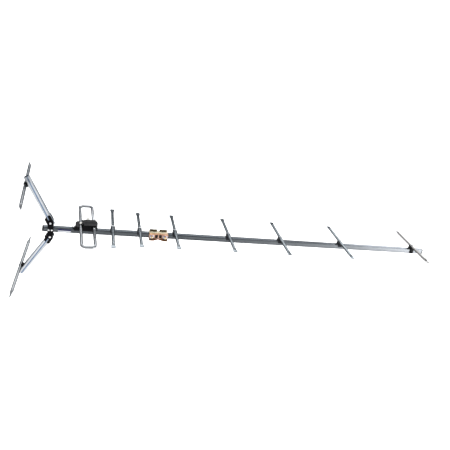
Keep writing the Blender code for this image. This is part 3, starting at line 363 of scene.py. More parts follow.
# a darker copy of the clamp's zinc: painted shade for the strap
SHADED_STRAP_ZINC = plated_steel("strap_zinc_shaded", (0.080, 0.066, 0.026), (0.15, 0.11, 0.055), (0.032, 0.032, 0.016),
                           (0.30, 0.18, 0.12), 0.42, 0.12)
DULL_RIVET = cast_or_turned("dull_rivet", (0.26, 0.27, 0.28), (0.17, 0.175, 0.18), 0.32)
REFLECTOR_ROD = reflector_rod_metal()
FRONT_ROD = drawn_metal("front_rod", (0.138, 0.136, 0.133), (0.085, 0.082, 0.078),
                        (0.185, 0.184, 0.182), 0.26, "Y", streak=0.3)
COPPER = cast_or_turned("copper_wire", (0.80, 0.42, 0.22), (0.50, 0.24, 0.12), 0.30)
SOLDER = cast_or_turned("solder", (0.72, 0.72, 0.74), (0.50, 0.50, 0.52), 0.28)
INSULATOR = cast_or_turned("insulator_white", (0.78, 0.77, 0.73), (0.66, 0.65, 0.61), 0.42, 0.0)
CERAMIC = cast_or_turned("ceramic", (0.55, 0.36, 0.20), (0.42, 0.27, 0.15), 0.35, 0.0)
RED_SLEEVE = cast_or_turned("sleeve_red", (0.42, 0.02, 0.015), (0.28, 0.015, 0.01), 0.42, 0.0)


# ---------------------------------------------------------------- pieces

def placed(name, data):
    """A new object in the scene for a mesh, light or camera."""
    obj = bpy.data.objects.new(name, data)
    bpy.context.scene.collection.objects.link(obj)
    return obj


def add_piece(name, bm, node, look=None, sharp_degrees=32, stands_for_node=True):
    """A piece of mesh that rides on the node's body, and stands for the node unless it is an extra."""
    mesh = bpy.data.meshes.new(name)
    bmesh.ops.recalc_face_normals(bm, faces=bm.faces)
    bm.to_mesh(mesh)
    bm.free()
    obj = placed(name, mesh)
    mesh.materials.append(look or LOOKS[SLOT_OF[node]])
    mesh.shade_smooth()
    mesh.set_sharp_from_angle(angle=math.radians(sharp_degrees))
    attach(obj, BODY_OF[node])
    if stands_for_node:
        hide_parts(node)
    return obj


def vertices_of(node):
    """The CAD node's vertices, one row each."""
    return np.array([vert.co for vert in frame["nodes"][node].data.vertices], float)


def long_axis(node):
    """Direction of the node's longest run of material, pointing to +Y or, failing that, to +X."""
    points = vertices_of(node)
    axis = Vector(np.linalg.svd(points - points.mean(0), full_matrices=False)[2][0])
    lead = axis.y if abs(axis.y) > 0.5 else axis.x
    return axis if lead > 0 else -axis


def seat(node, along, up):
    """The node's own frame: its matrix, centred on its extents, and its half sizes."""
    x_axis = along.normalized()
    z_axis = (up - x_axis * up.dot(x_axis)).normalized()
    axes = np.array([x_axis, z_axis.cross(x_axis), z_axis])
    spread = vertices_of(node) @ axes.T
    low, high = spread.min(0), spread.max(0)
    matrix = Matrix(axes.T.tolist()).to_4x4()
    matrix.translation = Vector(axes.T @ ((low + high) / 2))
    return matrix, Vector((high - low) / 2)


def loft(rings, looped=False):
    """Skins rings of points that have the same count. The ends are capped, or joined in a loop."""
    bm = bmesh.new()
    rows = [[bm.verts.new(point) for point in ring] for ring in rings]
    pairs = list(zip(rows, rows[1:])) + ([(rows[-1], rows[0])] if looped else [])
    for first, second in pairs:
        for index in range(len(first)):
            bm.faces.new((first[index - 1], first[index], second[index], second[index - 1]))
    if not looped:
        bm.faces.new(rows[0])
        bm.faces.new(rows[-1])
    return bm


def oval(wide, thick, power=2.0, count=32):
    """Points (u, v) of a superellipse; a higher power is squarer."""
    points = []
    for index in range(count):
        angle = 2 * math.pi * index / count
        cos, sin = math.cos(angle), math.sin(angle)
        points.append((wide * math.copysign(abs(cos) ** (2 / power), cos),
                       thick * math.copysign(abs(sin) ** (2 / power), sin)))
    return points


POLE = 1e-5                        # radius of the small face that stands for a point on the axis


def spun(profile, steps=40, twist=None, looped=False):
    """Turns (radius, height) points about Z. Twist moves a point's radius with its angle and height."""
    rings = []
    for radius, height in profile:
        ring = []
        for index in range(steps):
            angle = 2 * math.pi * index / steps
            reach = max(radius, POLE)
            if twist:
                reach = twist(reach, angle, height)
            ring.append((reach * math.cos(angle), reach * math.sin(angle), height))
        rings.append(ring)
    return loft(rings, looped)


def thread_phase(pitch, angle, height):
    """0 at a thread's crest and 1 at its root, for a right-handed thread."""
    turn = (height / pitch - angle / (2 * math.pi)) % 1.0
    return abs(2 * turn - 1)


def threaded(pitch, depth, low, high):
    """A twist that cuts a screw thread between two heights."""
    def twist(radius, angle, height):
        if not low < height < high:
            return radius
        fade = min(1.0, (high - height) / pitch, (height - low) / pitch)
        return radius - depth * fade * thread_phase(pitch, angle, height)
    return twist


def arc(centre, radius, start, end, steps=6):
    """Profile points round (radius, height) centre, angles in degrees from outward."""
    angles = [math.radians(start + (end - start) * step / steps) for step in range(steps + 1)]
    across, height = centre
    return [(across + radius * math.cos(angle), height + radius * math.sin(angle)) for angle in angles]


ROUNDED_ANGLE = 28                 # an edge is rounded where it turns by more than this, in degrees


def softened(node, width=0.0003, segments=2, look=None):
    """The node's own faces with its edges rounded."""
    bm = bmesh.new()
    bm.from_mesh(frame["nodes"][node].data)
    bmesh.ops.remove_doubles(bm, verts=bm.verts, dist=2e-6)
    bmesh.ops.dissolve_limit(bm, angle_limit=math.radians(1.0), verts=[], edges=bm.edges)
    obj = add_piece(node + "_fine", bm, node, look)
    rounding = obj.modifiers.new("Bevel", "BEVEL")
    rounding.width = width
    rounding.segments = segments
    rounding.limit_method = "ANGLE"
    rounding.angle_limit = math.radians(ROUNDED_ANGLE)
    rounding.harden_normals = True
    return obj


# ---------------------------------------------------------------- rods, loop and tubes

FLAT_LENGTH, FLAT_TAPER = 0.010, 0.014      # a rod's pressed end, and the run back to its round tube
FLAT_HALF = 0.0011                 # half the thickness of the pressed end
FLAT_POWER, ROUND_POWER = 3.4, 2.0          # of the superellipses in the pressed end and in the tube
SLIT_MOUTH, SLIT_FLOOR, SLIT_DEPTH = 0.00022, 0.00018, 0.003      # half gaps of the slit, and its depth
COLLAR_BORE, COLLAR_RADIUS, COLLAR_THICKNESS = 0.0019, 0.0037, 0.0005
COLLAR_SEAT = 0.0024               # from a rod rivet's top down to its collar's underside
TUBE_HALF, TUBE_WALL = 0.0075, 0.0012
ARM_GROOVE = (0.0032, 0.0006)      # width and depth
ROD_RADIUS = (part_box("director_rod_1")[1].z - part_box("director_rod_1")[0].z) / 2


def pressed_rod(node, up, look=None):
    """A round tube rod whose ends are pressed flat and show the slit between the two walls."""
    matrix, half = seat(node, long_axis(node), up)
    end, wide, thin = half.x, half.y, FLAT_HALF
    stations = [(end, wide * 0.93, thin * 0.72, FLAT_POWER),
                (end - 0.0004, wide * 0.985, thin * 0.93, FLAT_POWER),
                (end - 0.0012, wide, thin, FLAT_POWER),
                (end - FLAT_LENGTH, wide, thin, FLAT_POWER)]
    for step in range(1, 11):
        share = step / 10
        ease = share * share * (3 - 2 * share)
        stations.append((end - FLAT_LENGTH - FLAT_TAPER * share, wide + (ROD_RADIUS - wide) * ease,
                         thin + (ROD_RADIUS - thin) * ease, FLAT_POWER + (ROUND_POWER - FLAT_POWER) * share))
    slit = [(end - SLIT_DEPTH, wide * 0.78, SLIT_FLOOR, 2.6), (end, wide * 0.80, SLIT_MOUTH, 2.6)]
    run = slit + stations
    run += [(-reach, a, b, power) for reach, a, b, power in reversed(run)]
    rings = [[(reach, u, v) for u, v in oval(a, b, power)] for reach, a, b, power in run]
    bm = loft(rings)
    bm.transform(matrix)
    return add_piece(node + "_fine", bm, node, look, 40)


def rivet_seat(node, up):
    """The seat of a rivet whose head looks up."""
    return seat(node, X_AXIS if abs(up.x) < 0.5 else Z_AXIS, up)


def collar(node, up, look=None):
    """A thin pressed washer round the rivet, on top of the rod."""
    matrix, half = rivet_seat(node, up)
    roll = COLLAR_THICKNESS / 2
    profile = [(0.0, 0.0), (COLLAR_BORE, 0.0), (COLLAR_RADIUS, 0.0),
               *arc((COLLAR_RADIUS, roll), roll, -90, 90, 4), (COLLAR_BORE, COLLAR_THICKNESS),
               (0.0, COLLAR_THICKNESS)]
    bm = spun(profile, 32)
    bm.transform(matrix @ Matrix.Translation((0, 0, half.z - COLLAR_SEAT)))
    return add_piece(node + "_collar", bm, node, look, stands_for_node=False)


def set_rivet(node, up, head_height=0.002, tail_height=0.002, share=0.76, shank=0.47, look=None):
    """A blind rivet: domed head with its mandrel's hole, and the drawn-up tail. Share and shank are
    the tail's and the shank's radius as parts of the head's."""
    matrix, half = rivet_seat(node, up)
    top, bottom, radius = half.z, -half.z, min(half.x, half.y)
    rim = top - head_height
    edge = 0.0005
    tail, shank_radius = radius * share, radius * shank
    profile = [(0.0, bottom + 0.0004), (tail * 0.35, bottom + 0.0004), (tail * 0.45, bottom)]
    profile += arc((tail - edge, bottom + edge), edge, -90, 0, 4)
    profile += [(tail * 0.95, bottom + tail_height), (shank_radius, bottom + tail_height)]
    profile += [(shank_radius, rim), (radius * 0.97, rim), (radius, rim + edge / 2),
                (radius * 0.97, rim + edge)]
    for step in range(1, 9):
        angle = math.radians(90 * step / 9)
        profile.append((radius * 0.95 * math.cos(angle), rim + edge + (head_height - edge) * math.sin(angle)))
    hole = radius * 0.30
    profile += [(hole, top - 0.00002), (hole * 0.92, top - 0.0005), (hole * 0.5, top - 0.0004),
                (0.0, top - 0.00038)]
    bm = spun(profile, 36)
    bm.transform(matrix)
    return add_piece(node + "_fine", bm, node, look, 38)


def square_section(half, radius, groove_width=0.0, groove_depth=0.0):
    """Points (y, z) of a rounded square, with a groove along the middle of both Y faces."""
    points = []
    for quarter in range(4):
        turn = Matrix.Rotation(math.radians(90 * quarter), 2)
        if quarter % 2 == 0 and groove_width:
            floor, mouth, flat = half - groove_depth, groove_width / 2, groove_width / 2 - 0.0003
            face = [(half, -mouth - 0.0002), (half - 0.00006, -mouth), (floor, -flat), (floor, flat),
                    (half - 0.00006, mouth), (half, mouth + 0.0002)]
        else:
            face = [(half, (index - 2.5) * 0.001) for index in range(6)]
        corner = arc((half - radius, half - radius), radius, 0, 90)
        points += [turn @ Vector(point) for point in face + corner]
    return points


def square_tube(node, along, up, look=None, groove_width=0.0, groove_depth=0.0):
    """A drawn square tube with rounded edges, lightly deburred at its two open ends."""
    matrix, half = seat(node, along, up)
    burr = 0.0002
    outer = square_section(TUBE_HALF, 0.0012, groove_width, groove_depth)
    outer_end = square_section(TUBE_HALF - burr, 0.0010, groove_width, groove_depth)
    inner = square_section(TUBE_HALF - TUBE_WALL, 0.0006)
    inner_end = square_section(TUBE_HALF - TUBE_WALL + burr, 0.0006)
    end = half.x
    sections = [(-end, outer_end), (-end + burr, outer), (end - burr, outer), (end, outer_end),
                (end, inner_end), (end - burr, inner), (-end + burr, inner), (-end, inner_end)]
    bm = loft([[(x, u, v) for u, v in section] for x, section in sections], looped=True)
    bm.transform(matrix)
    return add_piece(node + "_fine", bm, node, look, 24)


SQUEEZED = (0.023, 0.032)          # the stretch of the loop's ends that the box grips


def folded_loop(node, feed_half_gap, corner):
    """The folded dipole: one bent tube, squeezed a little where it enters the box on the fed side.
    Entry holds the distances from the middle where the tube's own shape changes there."""
    across_boom = long_axis(node)
    matrix, half = seat(node, across_boom.cross(Z_AXIS), Z_AXIS)
    radius = half.z
    rear, fed, reach = -half.x + radius, half.x - radius, half.y - radius
    path = []

    def bend(centre_x, centre_y, start, end):
        path.extend(arc((centre_x, centre_y), corner, start, end, 14))

    entry = (feed_half_gap, feed_half_gap + 0.0003, 0.0225, 0.024, 0.031, 0.036)
    path += [(fed, -y) for y in entry]
    bend(fed - corner, -reach + corner, 0, -90)
    bend(rear + corner, -reach + corner, -90, -180)
    bend(rear + corner, reach - corner, 180, 90)
    bend(fed - corner, reach - corner, 90, 0)
    path += [(fed, y) for y in reversed(entry)]
    rings = []
    for index, (x, y) in enumerate(path):
        before = Vector(path[max(index - 1, 0)])
        after = Vector(path[min(index + 1, len(path) - 1)])
        across = (after - before).normalized().orthogonal()
        squeeze = 0.80 if x > fed - TINY and SQUEEZED[0] < abs(y) < SQUEEZED[1] else 1.0
        size = radius * (0.93 if index in (0, len(path) - 1) else 1.0)
        rings.append([(x + across.x * u, y + across.y * u, v)
                      for u, v in oval(size * (2 - squeeze), size * squeeze, count=28)])
    bm = loft(rings)
    bm.transform(matrix)
    return add_piece(node + "_fine", bm, node, sharp_degrees=50)


for side in ("upper", "lower"):
    inner_face = SWIVEL_AXIS[side]
    arm = "reflector_arm_" + side
    square_tube(arm, long_axis(arm), inner_face, ARM_LOOK[side], *ARM_GROOVE)
    pressed_rod("reflector_rod_" + side, inner_face, REFLECTOR_ROD)
    set_rivet("reflector_rod_rivet_" + side, inner_face)
    collar("reflector_rod_rivet_" + side, inner_face)
    softened("reflector_cradle_" + side, 0.0004, 3)
square_tube("boom_tube", X_AXIS, Z_AXIS)
for number in range(1, DIRECTORS + 1):
    pressed_rod(f"director_rod_{number}", Z_AXIS, FRONT_ROD if number == DIRECTORS else None)
    set_rivet(f"director_rivet_{number}", Z_AXIS, look=DULL_RIVET)
    collar(f"director_rivet_{number}", Z_AXIS, DULL_RIVET)
folded_loop("dipole_loop", feed_half_gap=0.009, corner=0.013)


# ---------------------------------------------------------------- moulded and pressed pieces

def blocks(name, node, matrix, slabs, look=None, round_over=0.00015):
    """Small raised blocks on a piece: (low corner, high corner) pairs in the matrix's axes."""
    bm = bmesh.new()
    for low, high in slabs:
        low, high = Vector(low), Vector(high)
        place = Matrix.Translation((low + high) / 2) @ Matrix.Diagonal((*(high - low), 1.0))
        bmesh.ops.create_cube(bm, size=1.0, matrix=place)
    bmesh.ops.bevel(bm, geom=bm.edges[:], offset=round_over, segments=2, affect="EDGES", profile=0.5)
    bm.transform(matrix)
    return add_piece(name, bm, node, look, stands_for_node=False)


def wire(name, node, matrix, path, radius, look, closed=False):
    """A round wire along a path in the matrix's axes."""
    points = [Vector(point) for point in path]
    rings = []
    side = None
    for index, point in enumerate(points):
        before = points[index - 1] if index or closed else point
        after = points[(index + 1) % len(points)] if index + 1 < len(points) or closed else point
        along = (after - before).normalized()
        side = along.orthogonal() if side is None else side - along * side.dot(along)
        side.normalize()
        other = along.cross(side)
        rings.append([point + side * u + other * v for u, v in oval(radius, radius, count=10)])
    bm = loft(rings, looped=closed)
    bm.transform(matrix)
    return add_piece(name, bm, node, look, 60, stands_for_node=False)


def eased(points, steps=5):
    """A smooth run through the given points."""
    vectors = [Vector(point) for point in points]
    padded = [vectors[0]] + vectors + [vectors[-1]]
    run = []
    for a, b, c, d in zip(padded, padded[1:], padded[2:], padded[3:]):
        for step in range(steps):
            t = step / steps
            run.append(0.5 * ((2 * b) + (c - a) * t + (2 * a - 5 * b + 4 * c - d) * t * t
                              + (3 * b - a - 3 * c + d) * t * t * t))
    return run + [vectors[-1]]


for suffix in ("near", "far"):
    softened("bracket_plate_" + suffix, 0.0002)
for number in range(1, DIRECTORS + 1):
    softened(f"director_clip_{number}", 0.0003)
for end in ("front", "rear"):
    softened("boom_end_cap_" + end, 0.0002)
softened("boom_label", 0.00008, 1)
softened("dipole_box_base", 0.00025)
softened("dipole_box_lid", 0.00025)
softened("clamp_bracket", 0.00025)
# the strap takes the painted-shade copy of the zinc
softened("clamp_strap", 0.00025, look=SHADED_STRAP_ZINC)
softened("dipole_balun_board", 0.0001, 1)
softened("dipole_balun_core", 0.0002)

for end in ("rear", "front"):
    set_rivet("bracket_rivet_" + end, -Y_AXIS, head_height=0.0016, tail_height=0.0014, share=0.8, shank=0.64)
for side in ("upper", "lower"):
    set_rivet("arm_pivot_pin_" + side, -Y_AXIS, head_height=0.0018, tail_height=0.0014, share=0.8, shank=0.66)


# ---------------------------------------------------------------- bolts, nuts and screws

TERMINAL_HEAD, BOX_HEAD, LOOP_HEAD = 0.0018, 0.0018, 0.0026      # heights of the screws' heads
SCREW_SHANK = 0.0016               # radius of every screw in the box
BOLT_BORE = 0.0033                 # radius of the hole in the clamp's nuts and washers
CLAMP_PITCH = 0.0010               # of the clamp's bolts and nuts


def recessed(bm, matrix, top, radius, depth):
    """Presses a cross recess into the top of a spun head before it is put in place."""
    for vert in bm.verts:
        u, v, height = vert.co
        reach = math.hypot(u, v)
        if height > top - depth and reach < radius:
            slim = min(abs(u), abs(v)) / (radius * 0.22)
            bite = max(0.0, 1.0 - max(slim, reach / radius) ** 3)
            vert.co.z -= depth * bite
    bm.transform(matrix)


def pan_screw(node, head_height, look=None):
    """A pan-head screw that points down, with a cross recess and a coarse thread."""
    matrix, half = seat(node, X_AXIS, Z_AXIS)
    top, tip, head = half.z, -half.z, min(half.x, half.y)
    rim, edge, pitch = top - head_height, 0.0004, 0.0006
    thread = rim - tip - 0.0012
    steps = int(thread / (pitch / 6))
    profile = [(0.0, tip), (SCREW_SHANK * 0.5, tip + 0.0001), (SCREW_SHANK, tip + 0.0009)]
    profile += [(SCREW_SHANK, tip + 0.001 + thread * step / steps) for step in range(steps + 1)]
    profile += [(SCREW_SHANK, rim), (head * 0.96, rim), *arc((head - edge, rim + edge), edge, -60, 0, 3)]
    shoulder = head * 0.80
    for step in range(1, 8):
        angle = math.radians(90 * step / 8)
        profile.append((shoulder + (head - shoulder) * math.cos(angle) - 0.00002,
                        rim + edge + (head_height - edge) * math.sin(angle)))
    profile += [(shoulder * (1 - step / 18), top) for step in range(18)]
    profile.append((0.0, top))
    bm = spun(profile, 48, threaded(pitch, SCREW_SHANK * 0.22, tip + 0.0009, rim - 0.0001))
    recessed(bm, matrix, top, head * 0.55, head_height * 0.55)
    return add_piece(node + "_fine", bm, node, look, 40)


def hex_twist(across_flats, low, high, inner):
    """Turns the wall between two heights into a hexagon, chamfered by the profile's own radius."""
    def twist(radius, angle, height):
        if radius <= inner or not low - TINY <= height <= high + TINY:
            return radius
        folded = (angle + math.pi / 6) % (math.pi / 3) - math.pi / 6
        return min(radius, across_flats / 2 / math.cos(folded))
    return twist


def clamp_nut(node, up):
    """A hexagon nut: chamfered crowns, countersunk and threaded bore."""
    matrix, half = seat(node, X_AXIS, up)
    height = half.z
    flats = 2 * min(half.x, half.y)
    corner, crown = flats / math.sqrt(3), flats / 2 * 0.94
    chamfer, sink, steps = 0.0007, 0.0005, 40
    wall, thread = 2 * (height - chamfer), 2 * (height - sink)
    profile = [(crown, -height)]
    profile += [(corner, -height + chamfer + wall * step / 4) for step in range(5)]
    profile += [(crown, height), (BOLT_BORE + 0.0006, height)]
    profile += [(BOLT_BORE, height - sink - thread * step / steps) for step in range(steps + 1)]
    profile.append((BOLT_BORE + 0.0006, -height))
    hexagon = hex_twist(flats, -height, height, BOLT_BORE + 0.0007)

    def twist(radius, angle, at):
        if radius > BOLT_BORE + TINY:
            return hexagon(radius, angle, at)
        return radius - 0.00018 * thread_phase(CLAMP_PITCH, angle, at)

    bm = spun(profile, 72, twist, looped=True)
    turn = 0.0 if half.x > half.y else math.pi / 6
    bm.transform(matrix @ Matrix.Rotation(turn, 4, "Z"))
    return add_piece(node + "_fine", bm, node, sharp_degrees=30)


def washer(node, up):
    """A stamped washer: one rolled edge, one sharp."""
    matrix, half = seat(node, X_AXIS, up)
    radius, height, roll = min(half.x, half.y), half.z, 0.0004
    profile = [(BOLT_BORE, -height), (radius - 0.0001, -height), (radius, -height + 0.0001)]
    profile += arc((radius - roll, height - roll), roll, 0, 90, 5)
    profile += [(BOLT_BORE + 0.0003, height), (BOLT_BORE, height - 0.0003)]
    bm = spun(profile, 48, looped=True)
    bm.transform(matrix)
    return add_piece(node + "_fine", bm, node, sharp_degrees=38)


def carriage_bolt(node, up):
    """A domed bolt with a rolled thread over the length that the nut runs on."""
    matrix, half = seat(node, X_AXIS, up)
    top, tip, head = half.z, -half.z, min(half.x, half.y)
    head_height, shank, edge = 0.003, 0.003, 0.0005
    rim = top - head_height
    thread_end = tip + 0.017
    steps = int((thread_end - tip) / (CLAMP_PITCH / 8))
    start = tip + 0.0006
    profile = [(0.0, tip), (shank * 0.72, tip), (shank * 0.80, tip + 0.0002)]
    profile += [(shank, start + (thread_end - start) * step / steps) for step in range(steps + 1)]
    profile += [(shank, rim), (head * 0.95, rim), (head, rim + 0.0002), (head, rim + edge)]
    for step in range(1, 11):
        angle = math.radians(90 * step / 10)
        profile.append((head * math.cos(angle), rim + edge + (head_height - edge) * math.sin(angle)))
    bm = spun(profile, 48, threaded(CLAMP_PITCH, 0.00042, tip + 0.0003, thread_end))
    bm.transform(matrix)
    return add_piece(node + "_fine", bm, node, sharp_degrees=40)


def mount_axis(name):
    """The direction that one of the record's mounts faces."""
    mounts = {mount["name"]: mount for mount in frame["record"]["mounts"]}
    return Vector(mounts[name]["axis"])


def coax_socket(node):
    """A threaded coaxial socket: inner flange, hexagon collar, thread, insulator and centre contact."""
    matrix, half = seat(node, X_AXIS, mount_axis("coax_port_face"))
    low, high = -half.z, half.z
    wide = min(half.x, half.y)
    barrel, neck, flange, box_wall, air = 0.0047, 0.004, 0.0055, 0.0025, 0.0003
    hexagon_low = low + 0.0032 + box_wall + air
    profile = [(0.0, low), (flange - 0.0002, low), (flange, low + 0.0002), (flange, low + 0.0029),
               (neck, low + 0.0029), (neck, hexagon_low), (wide * 0.96, hexagon_low),
               (wide, hexagon_low + 0.0003), (wide, hexagon_low + 0.0019),
               (wide * 0.90, hexagon_low + 0.0023), (barrel, hexagon_low + 0.0025)]
    start, end = hexagon_low + 0.0030, high - 0.0004
    pitch = 0.0008
    steps = int((end - start) / (pitch / 8))
    profile += [(barrel, start + (end - start) * step / steps) for step in range(steps + 1)]
    profile += [(barrel - 0.0004, high), (0.0034, high), (0.0033, high - 0.0002),
                (0.0033, high - 0.0014), (0.0012, high - 0.0014), (0.0011, high - 0.0016),
                (0.00045, high - 0.0016), (0.00045, high - 0.006), (0.0, high - 0.006)]
    hexagon = hex_twist(wide * math.sqrt(3), hexagon_low, hexagon_low + 0.0024, barrel + 0.0005)
    thread = threaded(pitch, 0.00035, start - 0.0001, end + 0.0001)

    def twist(radius, angle, height):
        if abs(radius - barrel) < TINY:
            return thread(radius, angle, height)
        return hexagon(radius, angle, height)

    bm = spun(profile, 60, twist)
    bm.transform(matrix)
    obj = add_piece(node + "_fine", bm, node, sharp_degrees=36)
    disc = [(0.0012, high - 0.0011), (0.00125, high - 0.001), (0.0031, high - 0.001),
            (0.0032, high - 0.0011), (0.0032, high - 0.0013), (0.0012, high - 0.0013)]
    insulator = spun(disc, 40)
    insulator.transform(matrix)
    add_piece(node + "_insulator", insulator, node, INSULATOR, stands_for_node=False)
    return obj


def plain_pin(node, along):
    """A straight steel pin with rounded ends."""
    matrix, half = seat(node, X_AXIS, along)
    radius, reach = min(half.x, half.y), half.z
    profile = [(0.0, -reach), (radius * 0.7, -reach), (radius, -reach + 0.0003), (radius, reach - 0.0003),
               (radius * 0.7, reach), (0.0, reach)]
    bm = spun(profile, 32)
    bm.transform(matrix)
    return add_piece(node + "_fine", bm, node, sharp_degrees=50)


for end in ("rear", "front"):
    carriage_bolt("clamp_bolt_" + end, Y_AXIS)
    washer("clamp_washer_" + end, -Y_AXIS)
    clamp_nut("clamp_nut_" + end, -Y_AXIS)
pan_screw("dipole_loop_screw", LOOP_HEAD, LOOKS["coax_nickel"])
pan_screw("dipole_box_screw", BOX_HEAD)
for side in ("near", "far"):
    pan_screw("dipole_terminal_screw_" + side, TERMINAL_HEAD)
coax_socket("dipole_coax_connector")
plain_pin("dipole_lid_hinge_pin", Vector(JOINTS["lid_hinge"]["axis"]))


# ---------------------------------------------------------------- fine details

RIB_PITCH, RIB_HALF = 0.0030, 0.0005
RIB_ACROSS = (-0.0002, 0.00035)    # a rib's two sides along Y, from the face of its cheek
BORE_OFFSET = 0.0024               # of each of the ferrite's two bores, from its middle
PAD_OFFSET = BORE_OFFSET * 1.6     # of the solder pads where the windings' tails end
TRACK_HALF_X, TRACK_HALF_Y = 0.0055, 0.0140         # the outline of the board's tracks
TRACK_LOW, TRACK_HIGH = -0.0001, 0.00006            # a track's underside and top, from the board's top
WIRE_RADIUS, TAIL_RADIUS = 0.00026, 0.00024


def clip_ribs(number):
    """Three grip ribs on each cheek of a rod clip."""
    node = f"director_clip_{number}"
    matrix, half = seat(node, X_AXIS, Z_AXIS)
    foot, head = -half.z + 0.0012, -half.z + 0.0062
    slabs = []
    for side in (-1, 1):
        near, far = (side * half.y + offset for offset in RIB_ACROSS)
        for x in (-RIB_PITCH, 0.0, RIB_PITCH):
            slabs.append(((x - RIB_HALF, near, foot), (x + RIB_HALF, far, head)))
    blocks(node + "_ribs", node, matrix, slabs)


def winding():
    """Enamelled wire wound through the ferrite's two bores, and its four soldered tails."""
    core, half = seat("dipole_balun_core", DIPOLE_X, Z_AXIS)
    for turn in range(3):
        reach = half.y + 0.0006 + 0.0004 * turn
        height = (turn - 1) * 0.0005
        path = []
        for sign in (1, -1):
            bore = sign * BORE_OFFSET
            path += [(bore, -sign * reach, height), (bore, 0.0, height), (bore, sign * reach, height)]
            path.append((0.0, sign * (reach + 0.0008), height))
        ring = eased(path + [path[0]], 6)[:-1]
        name = f"balun_winding_{turn + 1}"
        wire(name, "dipole_balun_core", core, ring, WIRE_RADIUS, COPPER, closed=True)
    board_top = -half.z - 0.0003
    for side, side_name in ((-1, "near"), (1, "far")):
        for end, end_name in ((-1, "rear"), (1, "front")):
            pad = (end * PAD_OFFSET, side * (half.y + 0.0030), board_top)
            path = eased([(end * BORE_OFFSET, side * (half.y - 0.001), 0.0),
                          (end * BORE_OFFSET * 1.25, side * (half.y + 0.0012), -0.0008),
                          (pad[0], pad[1], board_top + 0.0002)])
            name = f"balun_tail_{side_name}_{end_name}"
            wire(name, "dipole_balun_core", core, path, TAIL_RADIUS, COPPER)
            dot = spun([(0.0009, 0.0), (0.0008, 0.0003), (0.0005, 0.0006), (0.0, 0.0007)], 20)
            dot.transform(core @ Matrix.Translation(pad))
            add_piece(name + "_solder", dot, "dipole_balun_board", SOLDER, 60, stands_for_node=False)


def board_tracks():
    """Tinned tracks on the connection board, and the one capacitor on them."""
    board, half = seat("dipole_balun_board", DIPOLE_X, Z_AXIS)
    low, high = half.z + TRACK_LOW, half.z + TRACK_HIGH
    tracks = []
    for side in (-1, 1):
        inner, outer = sorted((side * 0.0085, side * 0.0145))
        for x in (-TRACK_HALF_X, TRACK_HALF_X):
            tracks.append(((x - 0.0006, inner, low), (x + 0.0006, outer, high)))
        cross = side * TRACK_HALF_Y
        tracks.append(((-TRACK_HALF_X, cross - 0.0005, low), (TRACK_HALF_X, cross + 0.0005, high)))
    blocks("board_tracks", "dipole_balun_board", board, tracks, SOLDER, 0.00002)
    capacitor = ((-0.0012, 0.0114, half.z), (0.0012, 0.0130, half.z + 0.0011))
    blocks("board_capacitor", "dipole_balun_board", board, [capacitor], CERAMIC)


def terminal_lead(side, suffix):
    """A crimped ring lug under the terminal screw, with its sleeved lead down to the board."""
    node = "dipole_terminal_screw_" + suffix
    screw, half = seat(node, DIPOLE_X, Z_AXIS)
    under = half.z - TERMINAL_HEAD - 0.00016
    bore, rim = 0.0018, 0.0040
    low, high = under - 0.0001, under + 0.0001
    lug = spun([(bore, low), (rim, low), (rim, high), (bore, high)], looped=True)
    lug.transform(screw)
    add_piece(node + "_lug", lug, node, SOLDER, stands_for_node=False)
    barrel = [(-0.0037, 0.0, under), (-0.0062, 0.0, high)]
    wire(node + "_crimp", node, screw, eased(barrel), 0.0009, SOLDER)
    lead = eased([(-0.0060, 0.0, high), (-0.0075, -side * 0.0002, under - 0.0004),
                  (-0.0088, side * 0.0006, under - 0.0028), (-0.0094, side * 0.0008, under - 0.0062)])
    wire(node + "_lead", node, screw, lead, 0.0006, RED_SLEEVE)


for number in range(1, DIRECTORS + 1):
    clip_ribs(number)
winding()
board_tracks()
terminal_lead(-1, "near")
terminal_lead(1, "far")


# ---------------------------------------------------------------- floor, light and camera

FLOOR_RADIUS, FLOOR_MIDDLE = 60.0, (0.3, 0.5, -0.62)


def floor():
    """A plain white floor, far wider than any view of the antenna shows."""
    bm = bmesh.new()
    bmesh.ops.create_circle(bm, cap_ends=True, radius=FLOOR_RADIUS, segments=96,
                            matrix=Matrix.Translation(FLOOR_MIDDLE))
    mesh = bpy.data.meshes.new("floor")
    bm.to_mesh(mesh)
    bm.free()
    surface = Surface("floor_paint", (0.95, 0.95, 0.95), 0.85)
    surface.tint(surface.span(surface.noise(0.9), 0.4, 0.7, 0.0, 0.25), (0.93, 0.93, 0.93))
    surface.shader.inputs["Specular IOR Level"].default_value = 0.1
    mesh.materials.append(surface.done())
    placed("floor", mesh)


def area_light(name, location, target, size, power):
    """A rectangular softbox that looks at a point."""
    data = bpy.data.lights.new(name, "AREA")
    data.shape = "RECTANGLE"
    data.size, data.size_y = size
    data.energy = power
    light = placed(name, data)
    light.location = location
    light.rotation_euler = (Vector(target) - Vector(location)).to_track_quat("-Z", "Y").to_euler()


def sun_light(name, turn, strength, spread):
    """A very soft overhead light. Its turn and spread are in degrees."""
    data = bpy.data.lights.new(name, "SUN")
    data.energy = strength
    data.angle = math.radians(spread)
    placed(name, data).rotation_euler = [math.radians(angle) for angle in turn]


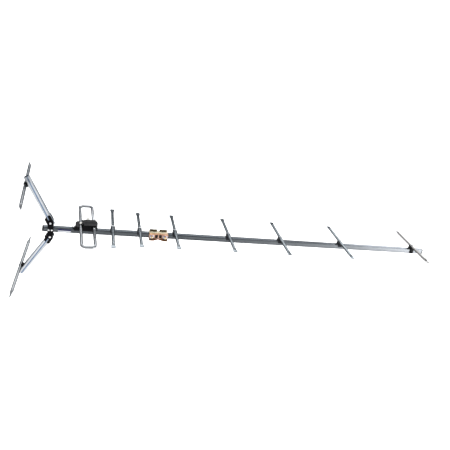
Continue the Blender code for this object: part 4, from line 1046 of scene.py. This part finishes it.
def world(floor_line, low_colour, high_colour, strength):
    """A studio shell: white where it meets the floor, dim above that and bright overhead."""
    backdrop = bpy.data.worlds.new("studio")
    backdrop.use_nodes = True
    nodes, links = backdrop.node_tree.nodes, backdrop.node_tree.links
    height = nodes.new("ShaderNodeSeparateXYZ")
    links.new(nodes.new("ShaderNodeTexCoord").outputs["Generated"], height.inputs[0])
    shell = nodes.new("ShaderNodeValToRGB")
    links.new(height.outputs["Z"], shell.inputs["Fac"])
    bands = ((0.20, floor_line), (0.27, low_colour), (0.36, low_colour), (0.58, high_colour))
    stops = shell.color_ramp.elements
    while len(stops) < len(bands):
        stops.new(0.5)
    for stop, (position, colour) in zip(stops, bands):
        stop.position = position
        stop.color = (*colour, 1.0)
    links.new(shell.outputs["Color"], nodes["Background"].inputs["Color"])
    nodes["Background"].inputs["Strength"].default_value = strength
    bpy.context.scene.world = backdrop


def camera(location, yaw, pitch, roll, lens):
    """The camera, from its angles in degrees: yaw from +Y towards +X, pitch up, and roll
    anticlockwise as seen from behind it."""
    yaw, pitch, roll = (math.radians(angle) for angle in (yaw, pitch, roll))
    forward = Vector((math.sin(yaw) * math.cos(pitch), math.cos(yaw) * math.cos(pitch), math.sin(pitch)))
    level = Vector((math.cos(yaw), -math.sin(yaw), 0.0))
    upright = level.cross(forward)
    right = level * math.cos(roll) + upright * math.sin(roll)
    up = upright * math.cos(roll) - level * math.sin(roll)
    data = bpy.data.cameras.new("camera")
    data.sensor_width = 36.0
    data.lens = lens
    data.clip_start, data.clip_end = 0.01, 60.0
    matrix = Matrix((right, up, -forward)).transposed().to_4x4()
    matrix.translation = Vector(location)
    obj = placed("camera", data)
    obj.matrix_world = matrix
    bpy.context.scene.camera = obj


floor()
world(floor_line=(1.0, 1.0, 1.0), low_colour=(0.36, 0.37, 0.40), high_colour=(0.96, 0.98, 1.0), strength=1.05)
sun_light("overhead", (8, -6, 0), 1.9, 70)
area_light("right_low", (2.0, -1.35, -0.25), (0.8, 0.0, 0.0), (1.0, 0.6), 30)
area_light("back_right", (2.7, 2.4, 1.45), (0.85, 0.0, 0.0), (1.3, 0.9), 42)
area_light("back", (0.10, 2.25, 2.06), (-0.10, 0.0, 0.0), (2.6, 1.3), 72)
camera((-0.2265, -1.5156, 0.7938), yaw=15.95, pitch=-25.25, roll=10.81, lens=44.0)
bpy.context.scene.view_settings.view_transform = "Standard"
